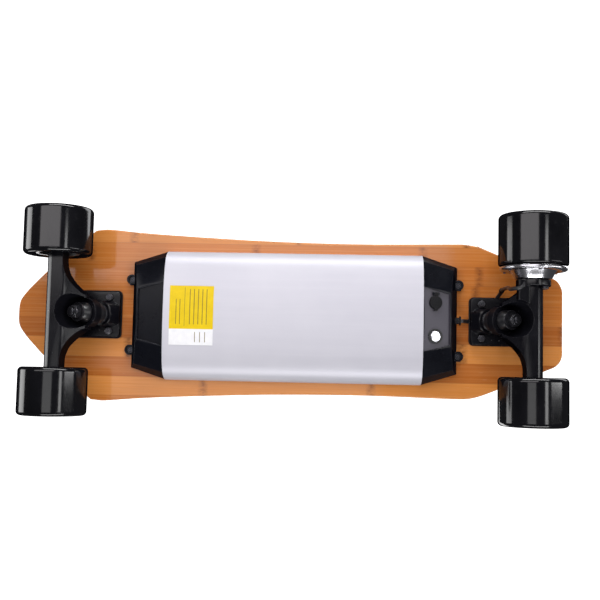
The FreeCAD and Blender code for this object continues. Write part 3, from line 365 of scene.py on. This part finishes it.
def shell_aluminium():
    m = Shader("shell_aluminium")
    blast = m.noise(3200.0, detail=3.0)
    cloud = m.noise(7.0, rough=0.55)
    streak = m.noise(stretch=(6.0, 160.0, 160.0))
    color = m.cloudy(cloud, (0.485, 0.480, 0.535), (0.545, 0.540, 0.590))
    color = m.tint(color, streak, over=(0.42, 0.75), amount=0.22, color=(0.60, 0.59, 0.635))
    color = m.tint(color, blast, over=(0.5, 0.8), amount=0.18, color=(0.66, 0.65, 0.70))
    scratch = m.noise(detail=2.0, rough=0.3, stretch=(26.0, 620.0, 60.0), turn=0.35)
    color = m.tint(color, scratch, over=(0.755, 0.79), amount=0.35, color=(0.50, 0.49, 0.54))
    mask, rounded = m.edge_mask(radius=0.0008)
    # painted highlight: every corner is lightened towards pale lilac white, standing in for edge
    # glints
    color = m.paint(color, mask, amount=0.4, color=(0.88, 0.87, 0.91))
    rough = m.plus(m.span(cloud, WIDE, to=(0.46, 0.54)),
                   m.span(streak, over=(0.3, 0.8), to=(-0.02, 0.03)))
    m.finish(color, rough, m.bump(blast, strength=0.10, depth=0.00012, normal=rounded),
             metal=0.22, spec=0.3)


def cap_plastic():
    """Moulded black plastic, paler on the sloping recessed rear panel."""
    panel_front_x, panel_drop = -0.16255, 0.0371    # a point on the panel's plane
    panel_slope = -0.23622
    panel_tolerance = 0.0004
    panel_half_width = 0.0384
    m = Shader("cap_plastic")
    texture = m.noise(2400.0, detail=2.0, rough=0.5)
    cloud = m.noise(28.0)
    color = m.cloudy(cloud, (0.0026, 0.0029, 0.0048), (0.0050, 0.0056, 0.0085))
    mask, rounded = m.edge_mask(radius=0.0009, over=(0.01, 0.16))
    # painted highlight: every corner is lightened to a dark grey, standing in for edge glints
    color = m.paint(color, mask, amount=0.4, color=(0.075, 0.078, 0.095))
    x, y, z = m.xyz()
    panel_z = m.vary(m.plus(x, -panel_front_x), base=BOARD_HEIGHT - panel_drop,
                     amount=panel_slope)
    offset = m.math("ABSOLUTE", m.math("SUBTRACT", z, panel_z))
    panel = m.times(m.less(offset, panel_tolerance), m.less(x, -0.1))
    panel = m.times(panel, m.less(m.math("ABSOLUTE", y), panel_half_width))
    color = m.paint(color, panel, amount=0.85, color=(0.055, 0.050, 0.066))
    dust = m.noise(120.0, detail=5.0, rough=0.7)
    color = m.tint(color, dust, over=(0.62, 0.82), amount=0.06, color=(0.12, 0.12, 0.135))
    rough = m.vary(texture, base=m.span(cloud, WIDE, to=(0.18, 0.25)), amount=0.04)
    rough, spec = m.sides(rough, spec=0.16, side_spec=0.04)
    m.finish(color, rough, m.bump(texture, strength=0.08, depth=0.0001, normal=rounded),
             spec=spec)


def wheel_urethane():
    m = Shader("wheel_urethane")
    cloud = m.noise(22.0)
    rings = m.noise(detail=3.0, stretch=(8.0, 900.0, 8.0))
    dust = m.noise(160.0, detail=5.0, rough=0.7)
    color = m.cloudy(cloud, (0.0022, 0.0022, 0.0030), (0.0050, 0.0050, 0.0065))
    color = m.tint(color, dust, over=(0.62, 0.82), amount=0.12, color=(0.11, 0.105, 0.10))
    rough = m.plus(m.span(cloud, WIDE, to=(0.07, 0.12)),
                   m.span(dust, over=(0.5, 0.8), to=(0.0, 0.07)))
    rough = m.vary(rings, base=rough, amount=0.03)
    m.finish(color, rough, m.bump(rings, strength=0.03, depth=0.0002),
             spec=m.graze(0.38, over=(0.48, 0.72)))


# first x of each bar, bar width, first y, last y
LABEL_BARS = [
    ((0.0935, 0.0985, 0.1035, 0.1085, 0.1135), 0.0011, -0.0120, 0.0300),
    ((0.1255, 0.1300), 0.0010, -0.0120, 0.0180),
    ((0.0950, 0.1010, 0.1070), 0.0010, -0.0330, -0.0210),
    ((0.1200,), 0.0006, -0.0140, 0.0320),
]


def label_yellow():
    """Two-tone film: a yellow field, a white strip on its -Y side and plain bars."""
    m = Shader("label_yellow")
    x, y, _ = m.xyz()
    cloud = m.noise(120.0)
    yellow = m.cloudy(cloud, (0.62, 0.43, 0.001), (0.70, 0.50, 0.003))
    white = m.cloudy(cloud, (0.70, 0.70, 0.72), (0.78, 0.78, 0.80))
    color = m.mix(m.span(y, over=(-0.0176, -0.0174), to=(1.0, 0.0)), yellow, white)

    def between(value, low, high):
        return m.times(m.math("GREATER_THAN", value, low), m.less(value, high))

    mask = None
    for starts, width, y0, y1 in LABEL_BARS:
        for x0 in starts:
            bar = m.times(between(x, x0, x0 + width), between(y, y0, y1))
            mask = bar if mask is None else m.math("MAXIMUM", mask, bar)
    wear = m.span(m.noise(900.0, detail=3.0), over=(0.25, 0.45), to=(0.45, 0.85))
    color = m.mix(m.times(mask, wear), color, (0.16, 0.12, 0.02))
    m.finish(color, m.span(cloud, WIDE, to=(0.36, 0.46)),
             m.bump(cloud, strength=0.08, depth=0.0002), spec=0.2)


def circuit_board():
    m = Shader("circuit_board")
    cloud = m.noise(90.0)
    tracks = m.node("ShaderNodeTexBrick", {
        "Vector": m.mapped((1, 1, 1)), "Scale": 160.0, "Mortar Size": 0.03,
        "Color1": (0.010, 0.085, 0.035, 1), "Color2": (0.016, 0.110, 0.048, 1),
        "Mortar": (0.05, 0.20, 0.09, 1)})
    color = m.tint(tracks.outputs[0], cloud, over=(0.35, 0.7), amount=0.5,
                   color=(0.012, 0.06, 0.03))
    m.finish(color, m.span(cloud, WIDE, to=(0.28, 0.42)),
             m.bump(tracks.outputs[1], strength=0.2, depth=0.0002))


def lamination():
    sheet_thickness = 0.0007
    m = Shader("lamination")
    sheet = m.cell("FRACT", m.xyz()[1], sheet_thickness)
    cloud = m.noise(140.0)
    color = m.mix(m.span(sheet, over=(0.0, 0.3), to=(1.0, 0.0)),
                  (0.26, 0.26, 0.28), (0.10, 0.10, 0.11))
    color = m.tint(color, cloud, over=(0.4, 0.7), amount=0.5, color=(0.20, 0.15, 0.11))
    m.finish(color, m.span(cloud, WIDE, to=(0.38, 0.55)),
             m.bump(sheet, strength=0.2, depth=0.0002), metal=0.9)


def copper():
    m = Shader("copper")
    windings = m.node("ShaderNodeTexWave", {0: m.coords, "Scale": 420.0, "Distortion": 1.2},
                      bands_direction="Z")
    cloud = m.noise(70.0)
    color = m.cloudy(cloud, (0.50, 0.18, 0.075), (0.66, 0.27, 0.12))
    m.finish(color, m.span(cloud, WIDE, to=(0.26, 0.38)),
             m.bump(windings.outputs[1], strength=0.4, depth=0.0003), metal=0.9)


for build in (bamboo, core_plies, grip, truck_black, shell_aluminium, cap_plastic,
              wheel_urethane, label_yellow, circuit_board, lamination, copper):
    build()
simple("black_rubber", (0.008, 0.008, 0.009), (0.005, 0.005, 0.006), (0.026, 0.026, 0.028),
       rough=0.52, clouds=80.0, grain=1600.0, bump=0.25, edge=(0.06, 0.06, 0.065), spec=0.12)
simple("bushing_urethane", (0.009, 0.009, 0.011), (0.005, 0.005, 0.007), (0.03, 0.03, 0.033),
       rough=0.38, clouds=90.0, grain=900.0, bump=0.12, coat=0.3, coat_rough=0.25)
simple("black_steel", (0.030, 0.030, 0.036), (0.014, 0.014, 0.018), (0.15, 0.15, 0.17),
       rough=0.34, metal=0.75, clouds=120.0, grain=1500.0, bump=0.2,
       edge=(0.50, 0.50, 0.53), edge_radius=0.0004)
simple("zinc_steel", (0.56, 0.56, 0.58), (0.36, 0.36, 0.38), (0.80, 0.80, 0.80),
       rough=0.30, metal=1.0, clouds=150.0, grain=1800.0, bump=0.2, depth=0.00012,
       edge=(0.85, 0.85, 0.86), edge_radius=0.0003)
polished("axle_steel", (0.44, 0.44, 0.46), (0.58, 0.58, 0.60),
         rough=(0.22, 0.32), stretch=(60.0, 2400.0, 60.0))
polished("bearing_steel", (0.62, 0.62, 0.64), (0.76, 0.76, 0.78),
         rough=(0.12, 0.20), stretch=(120.0, 3000.0, 120.0))
simple("core_plastic", (0.020, 0.020, 0.023), (0.012, 0.012, 0.014), (0.06, 0.06, 0.064),
       rough=0.42, grain=1500.0, edge=(0.09, 0.09, 0.10))
polished("motor_aluminium", (0.46, 0.46, 0.49), (0.60, 0.60, 0.63),
         rough=(0.16, 0.26), stretch=(40.0, 1500.0, 40.0))
simple("motor_can_black", (0.020, 0.020, 0.023), (0.012, 0.012, 0.014), (0.09, 0.09, 0.10),
       rough=0.34, metal=0.4, grain=1300.0, bump=0.12,
       edge=(0.35, 0.35, 0.37), edge_radius=0.0005)
simple("magnet", (0.50, 0.50, 0.52), (0.36, 0.36, 0.38), (0.72, 0.72, 0.72),
       rough=0.22, metal=1.0, clouds=120.0, grain=1500.0, bump=0.1, depth=0.0001)
simple("cable_black", (0.012, 0.012, 0.014), (0.007, 0.007, 0.008), (0.05, 0.05, 0.052),
       rough=0.40, clouds=100.0, bump=0.12, coat=0.25, coat_rough=0.25)
polished("button_metal", (0.46, 0.46, 0.49), (0.62, 0.62, 0.65),
         rough=(0.10, 0.20), stretch=(900.0, 60.0, 900.0))
simple("bezel_plastic", (0.012, 0.012, 0.014), (0.008, 0.008, 0.009), (0.04, 0.04, 0.042),
       rough=0.26, clouds=90.0, grain=1500.0, bump=0.06, depth=0.0001,
       edge=(0.10, 0.10, 0.11), spec=0.16)
simple("cell_wrap", (0.05, 0.16, 0.28), (0.03, 0.11, 0.21), (0.16, 0.30, 0.44),
       rough=0.26, clouds=40.0, grain=900.0, bump=0.08, coat=0.3)
simple("holder_plastic", (0.035, 0.035, 0.038), (0.022, 0.022, 0.024), (0.09, 0.09, 0.092),
       rough=0.46, clouds=50.0, grain=1200.0)
simple("brass_insert", (0.55, 0.38, 0.14), (0.38, 0.25, 0.09), (0.78, 0.60, 0.30),
       rough=0.30, metal=1.0, clouds=120.0, bump=0.3)

# ------------------------------------------------------------------ CAD pieces
SPLIT_ANGLE = 32.0      # degrees; sharper corners stay crisp
SPLIT_ANGLES = {"end_cap": 22.0, "hanger": 30.0, "baseplate": 30.0}


def drop_normals(mesh):
    """Remove imported corner normals, which would override the soft shading."""
    for name in ("custom_normal", "sharp_face"):
        attribute = mesh.attributes.get(name)
        if attribute is not None:
            # guards against an attribute that Blender refuses to remove
            try:
                mesh.attributes.remove(attribute)
            except RuntimeError:
                pass


def smooth(piece, degrees):
    """Soft shading on round faces, crisp corners kept."""
    for face in piece.data.polygons:
        face.use_smooth = True
    weld = piece.modifiers.new("weld", "WELD")
    weld.merge_threshold = 2e-6
    split = piece.modifiers.new("split", "EDGE_SPLIT")
    split.use_edge_angle = True
    split.split_angle = math.radians(degrees)
    split.use_edge_sharp = False


slots = {part["node"]: part["material_slot"] for part in frame["record"]["subparts"]
         if "material_slot" in part}
for name, piece in frame["nodes"].items():
    piece.data.materials.clear()
    piece.data.materials.append(MATERIALS[slots[name]])
    drop_normals(piece.data)
    smooth(piece, next((angle for part, angle in SPLIT_ANGLES.items() if part in name),
                       SPLIT_ANGLE))


# ------------------------------------------------------------------ mesh helpers
def mesh_piece(name, verts, faces, slot, degrees):
    mesh = bpy.data.meshes.new(name)
    mesh.from_pydata([tuple(v) for v in verts], [], faces)
    mesh.validate()
    piece = bpy.data.objects.new(name, mesh)
    scene.collection.objects.link(piece)
    bm = bmesh.new()
    bm.from_mesh(mesh)
    bmesh.ops.recalc_face_normals(bm, faces=bm.faces)
    bm.to_mesh(mesh)
    bm.free()
    mesh.materials.append(MATERIALS[slot])
    for face in mesh.polygons:
        face.use_smooth = True
    piece.modifiers.new("split", "EDGE_SPLIT").split_angle = math.radians(degrees)
    return piece


def revolve(name, centre, axis, profile, slot, segments, degrees=40.0):
    """Turn a closed list of (along axis, radius) about the axis through centre."""
    axis = Vector(axis).normalized()
    side = axis.orthogonal().normalized()
    other = axis.cross(side)
    verts, faces = [], []
    count = len(profile)
    for i in range(segments):
        angle = 2 * math.pi * i / segments
        outward = side * math.cos(angle) + other * math.sin(angle)
        for along, radius in profile:
            verts.append(Vector(centre) + axis * along + outward * radius)
    for i in range(segments):
        j = (i + 1) % segments
        for k in range(count):
            l = (k + 1) % count
            faces.append((i * count + k, i * count + l, j * count + l, j * count + k))
    return mesh_piece(name, verts, faces, slot, degrees)


def catmull(points, steps):
    """Points along a Catmull-Rom curve, with steps to each stretch."""
    points = [Vector(p) for p in points]
    padded = [points[0] * 2 - points[1]] + points + [points[-1] * 2 - points[-2]]
    path = []
    for i in range(1, len(padded) - 2):
        p0, p1, p2, p3 = padded[i - 1:i + 3]
        for k in range(steps):
            t = k / steps
            path.append(0.5 * ((2 * p1) + (p2 - p0) * t
                               + (2 * p0 - 5 * p1 + 4 * p2 - p3) * t * t
                               + (3 * p1 - p0 - 3 * p2 + p3) * t ** 3))
    path.append(points[-1])
    return path


def hose(name, points, radius_at, slot, steps, segments=20):
    """A capped tube; radius_at gives the radius at a fraction of its length."""
    path = catmull(points, steps)
    verts, faces = [], []
    side = (path[1] - path[0]).normalized().orthogonal().normalized()
    last = len(path) - 1
    for i, point in enumerate(path):
        tangent = (path[min(i + 1, last)] - path[max(i - 1, 0)]).normalized()
        side = (side - tangent * side.dot(tangent)).normalized()
        other = tangent.cross(side)
        radius = radius_at(i / last)
        for k in range(segments):
            angle = 2 * math.pi * k / segments
            verts.append(point + (side * math.cos(angle) + other * math.sin(angle)) * radius)
    for i in range(last):
        for k in range(segments):
            l = (k + 1) % segments
            faces.append((i * segments + k, i * segments + l,
                          (i + 1) * segments + l, (i + 1) * segments + k))
    faces.append(tuple(range(segments))[::-1])
    faces.append(tuple(last * segments + k for k in range(segments)))
    return mesh_piece(name, verts, faces, slot, degrees=50.0)


# ------------------------------------------------------------------ truck bushings
BUSHING_TILT = math.radians(31.7)
BUSHING_INSET = 0.032       # from the axle towards the middle of the board
BUSHING_HEIGHT = 0.066
# (along the pin, radius) from the hanger ring: a barrel above it and a cone below,
# each bulging a little between its seats
UPPER_BUSHING = [
    (-0.01845, 0.0052), (-0.01845, 0.0106), (-0.0178, 0.0118), (-0.0165, 0.01255),
    (-0.0142, 0.0130), (-0.0118, 0.01315), (-0.0094, 0.0130), (-0.0072, 0.0126),
    (-0.0058, 0.0120), (-0.0052, 0.0112), (-0.0052, 0.0104), (-0.0032, 0.0104),
    (-0.0032, 0.0052)]
LOWER_BUSHING = [
    (0.0032, 0.0052), (0.0032, 0.0104), (0.0052, 0.0104), (0.0052, 0.0114),
    (0.0058, 0.0121), (0.0072, 0.0125), (0.0090, 0.0123), (0.0120, 0.0117),
    (0.0148, 0.0108), (0.0162, 0.0101), (0.01695, 0.0093), (0.01695, 0.0052)]


def bushings(end, axle_x, side):
    """side is 1 for the front truck and -1 for the rear."""
    centre = Vector((axle_x - side * BUSHING_INSET, 0, BUSHING_HEIGHT))
    pin = Vector((side * math.sin(BUSHING_TILT), 0, -math.cos(BUSHING_TILT)))
    upper, lower = [
        revolve(end + "_bushing_" + place, centre, pin, profile, "bushing_urethane", 72)
        for place, profile in (("upper", UPPER_BUSHING), ("lower", LOWER_BUSHING))]
    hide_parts(end + "_bushings")
    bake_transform(upper)
    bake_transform(lower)


bushings("front", FRONT_AXLE_X, 1)
bushings("rear", REAR_AXLE_X, -1)

# ------------------------------------------------------------------ wheels
# profiles are (distance from the board's middle plane, radius)
TYRE_OUTER = 0.1219
TYRE_INNER = TYRE_OUTER - 0.056
TYRE_LIP = 0.005            # radius of the rounded shoulders
TYRE_BORE = 0.02502
SLEEVE_INNER = 0.0624       # the motor wheel's thinner tyre
SLEEVE_LIP = 0.0024
SLEEVE_BORE = 0.03362
TREAD_STATIONS = (0.02, 0.25, 0.5, 0.75, 0.98)

MOTOR_COVER = [
    (0.0612, 0.0301), (0.0612, 0.0372), (0.0608, 0.0380), (0.0600, 0.0384),
    (0.0578, 0.0384), (0.0570, 0.0380), (0.0565, 0.0372), (0.0560, 0.0336),
    (0.0558, 0.0318), (0.0562, 0.0306), (0.0572, 0.0301), (0.0577, 0.0294),
    (0.0577, 0.0270), (0.0572, 0.0262), (0.0562, 0.0256), (0.0520, 0.02345),
    (0.0476, 0.0212), (0.0470, 0.0207), (0.0469, 0.0200), (0.0469, 0.0128),
    (0.0522, 0.0114), (0.0522, 0.01102), (0.0594, 0.01102), (0.0594, 0.0145),
    (0.0612, 0.0190)]
SCREW_COUNT = 6
SCREW_CIRCLE = 0.0346
SCREW_Y = 0.0560
# (height above the seat, radius)
SCREW = [
    (-0.0030, 0.0), (-0.0030, 0.0013), (-0.0006, 0.0013), (0.0002, 0.0018), (0.0007, 0.0017),
    (0.0009, 0.0014), (0.0009, 0.0009), (0.0003, 0.0008), (0.0003, 0.0)]


def turned(name, cad_name, axle_x, side, profile, body, slot):
    """Turn a profile about an axle; side is 1 for +Y and -1 for -Y."""
    piece = revolve(name, (axle_x, 0, AXLE_HEIGHT), (0, 1, 0),
                    [(side * along, radius) for along, radius in profile], slot, 144, 34.0)
    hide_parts(cad_name)
    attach(piece, body)


def shoulder(along, lip, start, end, steps):
    """A rounded shoulder meeting the tread, from start to end degrees."""
    angles = [math.radians(start + (end - start) * i / steps) for i in range(steps + 1)]
    return [(along + lip * math.cos(a), WHEEL_RADIUS - lip + lip * math.sin(a))
            for a in angles]


def tread(start, end):
    return [(start + (end - start) * f, WHEEL_RADIUS) for f in TREAD_STATIONS]


outer_edge = TYRE_OUTER - TYRE_LIP
outer_shoulder = shoulder(outer_edge, TYRE_LIP, 90, 0, 12)
tyre = (
    [(TYRE_INNER + 0.0016, TYRE_BORE), (TYRE_INNER + 0.0006, 0.0285), (TYRE_INNER, 0.0325)]
    + shoulder(TYRE_INNER + TYRE_LIP, TYRE_LIP, 180, 90, 12)
    + tread(TYRE_INNER + TYRE_LIP, outer_edge) + outer_shoulder
    + [(TYRE_OUTER, 0.0325), (TYRE_OUTER - 0.0006, 0.0285), (TYRE_OUTER - 0.0016, TYRE_BORE)])
for corner, axle_x, side in (("front_left", FRONT_AXLE_X, 1), ("front_right", FRONT_AXLE_X, -1),
                             ("rear_right", REAR_AXLE_X, -1)):
    turned(corner + "_tyre_moulded", corner + "_tyre", axle_x, side, tyre,
           corner + "_wheel", "wheel_urethane")

sleeve = (
    [(SLEEVE_INNER, SLEEVE_BORE), (SLEEVE_INNER, WHEEL_RADIUS - SLEEVE_LIP)]
    + shoulder(SLEEVE_INNER + SLEEVE_LIP, SLEEVE_LIP, 180, 90, 8)[1:]
    + tread(SLEEVE_INNER + SLEEVE_LIP, outer_edge) + outer_shoulder
    + [(TYRE_OUTER - 0.0004, SLEEVE_BORE)])
turned("motor_tyre_moulded", "motor_tyre", REAR_AXLE_X, 1, sleeve,
       "motor_wheel", "wheel_urethane")
turned("motor_cover_turned", "motor_inner_cover", REAR_AXLE_X, 1, MOTOR_COVER,
       "motor_wheel", "motor_aluminium")
# countersunk screws round the cover's lip, heads towards the middle of the board
for i in range(SCREW_COUNT):
    angle = math.radians(30 + 360 / SCREW_COUNT * i)
    seat = Vector((REAR_AXLE_X + SCREW_CIRCLE * math.cos(angle), SCREW_Y,
                   AXLE_HEIGHT + SCREW_CIRCLE * math.sin(angle)))
    screw = revolve("cover_screw_%d" % (i + 1), seat, (0, -1, 0), SCREW, "black_steel", 20)
    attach(screw, "motor_wheel")

# ------------------------------------------------------------------ motor cable
CABLE_RADIUS = 0.0023
COLLAR_RADIUS = 0.0031
COLLAR_END_RADIUS = 0.0028
deck_end = Vector((REAR_AXLE_X + 0.0644 - 0.036, 0.0370, BOARD_HEIGHT - 0.015))
# path of the free loop: offsets from the deck length's end
LOOP_FROM_DECK = [(0, -0.0010, 0.0035), (0, 0.0002, -0.002), (-0.0012, 0.0016, -0.013),
                  (-0.0026, 0.0010, -0.028)]
# then (x from the rear axle, y, z), ending at the length on the rear truck
LOOP_TO_TRUCK = [(0.0262, 0.0354, 0.0400), (0.0236, 0.0352, 0.0300), (0.0190, 0.0357, 0.0258),
                 (0.0152, 0.0382, 0.0256), (0.0134, 0.0424, 0.0266), (0.0134, 0.0460, 0.0266)]
COLLAR_FROM_DECK = [(0, -0.0004, 0.0050), (0, 0.0002, 0.0015), (-0.0002, 0.0006, -0.0015)]

loop = [deck_end + Vector(offset) for offset in LOOP_FROM_DECK]
loop += [Vector((REAR_AXLE_X + x, y, z)) for x, y, z in LOOP_TO_TRUCK]
cable = hose("motor_cable", loop, lambda f: CABLE_RADIUS, "cable_black", steps=10)
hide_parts("motor_lead_cable")
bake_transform(cable)
# rubber strain collar where the loop meets the deck length
collar = hose("cable_collar", [deck_end + Vector(offset) for offset in COLLAR_FROM_DECK],
              lambda f: COLLAR_RADIUS if 0.15 < f < 0.85 else COLLAR_END_RADIUS,
              "black_rubber", steps=6)
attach(collar, "board")


# ------------------------------------------------------------------ stage
def floor():
    """A pale floor seen only by the camera and only from above, fading out with distance."""
    fade_start, fade_end = 0.55, 1.9
    material = bpy.data.materials.new("floor")
    tree = empty_tree(material)
    clear = add_node(tree, "ShaderNodeBsdfTransparent")
    pale = add_node(tree, "ShaderNodeBsdfDiffuse", {0: (0.80, 0.80, 0.80, 1)})
    path = add_node(tree, "ShaderNodeLightPath")
    geometry = add_node(tree, "ShaderNodeNewGeometry")
    above = add_node(tree, "ShaderNodeMath", {0: 1.0, 1: geometry.outputs["Backfacing"]},
                     operation="SUBTRACT")
    seen = add_node(tree, "ShaderNodeMath",
                    {0: above.outputs[0], 1: path.outputs["Is Camera Ray"]},
                    operation="MULTIPLY")
    coords = add_node(tree, "ShaderNodeTexCoord")
    distance = add_node(tree, "ShaderNodeVectorMath", {0: coords.outputs["Object"]},
                        operation="LENGTH")
    fade = add_node(tree, "ShaderNodeMapRange",
                    {0: distance.outputs["Value"], 1: fade_start, 2: fade_end, 3: 1.0, 4: 0.0},
                    interpolation_type="SMOOTHSTEP", clamp=True)
    shown = add_node(tree, "ShaderNodeMath", {0: seen.outputs[0], 1: fade.outputs[0]},
                     operation="MULTIPLY")
    mixed = add_node(tree, "ShaderNodeMixShader",
                     {0: shown.outputs[0], 1: clear.outputs[0], 2: pale.outputs[0]})
    add_node(tree, "ShaderNodeOutputMaterial", {0: mixed.outputs[0]})
    bpy.ops.mesh.primitive_plane_add(size=60.0, location=(0, 0, -0.0004))
    plane = bpy.context.object
    plane.name = "floor"
    plane.data.materials.append(material)


def studio():
    """A faint cool world for lighting, plain white to the camera."""
    world = bpy.data.worlds.new("studio")
    scene.world = world
    tree = empty_tree(world)
    ambient = add_node(tree, "ShaderNodeBackground", {0: (0.86, 0.87, 0.92, 1), 1: 0.07})
    backdrop = add_node(tree, "ShaderNodeBackground", {0: (1, 1, 1, 1), 1: 1.6})
    path = add_node(tree, "ShaderNodeLightPath")
    mixed = add_node(tree, "ShaderNodeMixShader",
                     {0: path.outputs["Is Camera Ray"], 1: ambient.outputs[0],
                      2: backdrop.outputs[0]})
    add_node(tree, "ShaderNodeOutputWorld", {0: mixed.outputs[0]})


WHITE = (1, 1, 1)
# name, location, target, (width, height), watts, colour
SOFTBOXES = [
    # for the underside; under_left stands off the front end, a little above the board
    ("under_wide", (0.82, 0.72, -1.75), (0.82, 0.72, 0.05), (2.5, 1.0), 27.0, (1.0, 0.96, 0.98)),
    ("under_high", (-0.30, 1.85, -0.65), (-0.15, 0.0, 0.05), (2.4, 0.5), 50.0, WHITE),
    ("under_low", (-0.30, -1.85, -0.85), (-0.15, 0.0, 0.05), (2.4, 0.5), 40.0, WHITE),
    ("under_strip", (0.26, -0.17, -1.75), (0.26, -0.17, 0.05), (0.90, 0.30), 1.9, WHITE),
    ("under_left", (1.9, 0.0, 0.22), (0.2, 0.0, 0.03), (0.95, 0.8), 12.0, WHITE),
    ("under_right", (-2.2, 0.0, -0.75), (0.0, 0.0, 0.05), (0.22, 1.6), 9.0, WHITE),
    ("under_panel", (-1.35, 0.06, -1.75), (-0.18, 0.0, 0.06), (0.75, 0.34), 5.6, WHITE),
    # for the deck's top side
    ("over_key", (0.7, -1.0, 1.9), (0.0, 0.0, 0.05), (1.4, 1.4), 42.0, WHITE),
    ("over_fill", (-1.3, 1.1, 1.5), (0.0, 0.0, 0.05), (1.6, 1.2), 24.0, (0.97, 0.98, 1.0)),
]


def softbox(name, location, target, size, power, color):
    light = bpy.data.lights.new(name, "AREA")
    light.shape = "RECTANGLE"
    light.size, light.size_y = size
    light.energy = power
    light.color = color
    lamp = bpy.data.objects.new(name, light)
    scene.collection.objects.link(lamp)
    lamp.location = location
    aim = Vector(target) - Vector(location)
    lamp.rotation_euler = aim.to_track_quat("-Z", "Y").to_euler()
    lamp.visible_camera = False


def camera():
    """Below the board and a little off its middle, looking up at the underside."""
    right = Vector((-0.9990183108605476, 0.021909932428176158, 0.03850155096007181))
    up = Vector((0.018907614191538368, 0.9968761856146646, -0.07668358807424544))
    forward = Vector((0.04006141149438183, 0.07588033615732981, 0.9963118276391826))
    lens = bpy.data.cameras.new("camera")
    holder = bpy.data.objects.new("camera", lens)
    scene.collection.objects.link(holder)
    pose = Matrix((right, up, -forward)).transposed().to_4x4()
    pose.translation = Vector((-0.05927, -0.0613856, -1.0038299))
    holder.matrix_world = pose
    lens.lens = 54.0
    lens.sensor_width = 36.0
    lens.clip_start = 0.01
    scene.camera = holder


floor()
studio()
for row in SOFTBOXES:
    softbox(*row)
camera()
scene.view_settings.view_transform = "Standard"
scene.view_settings.look = "None"
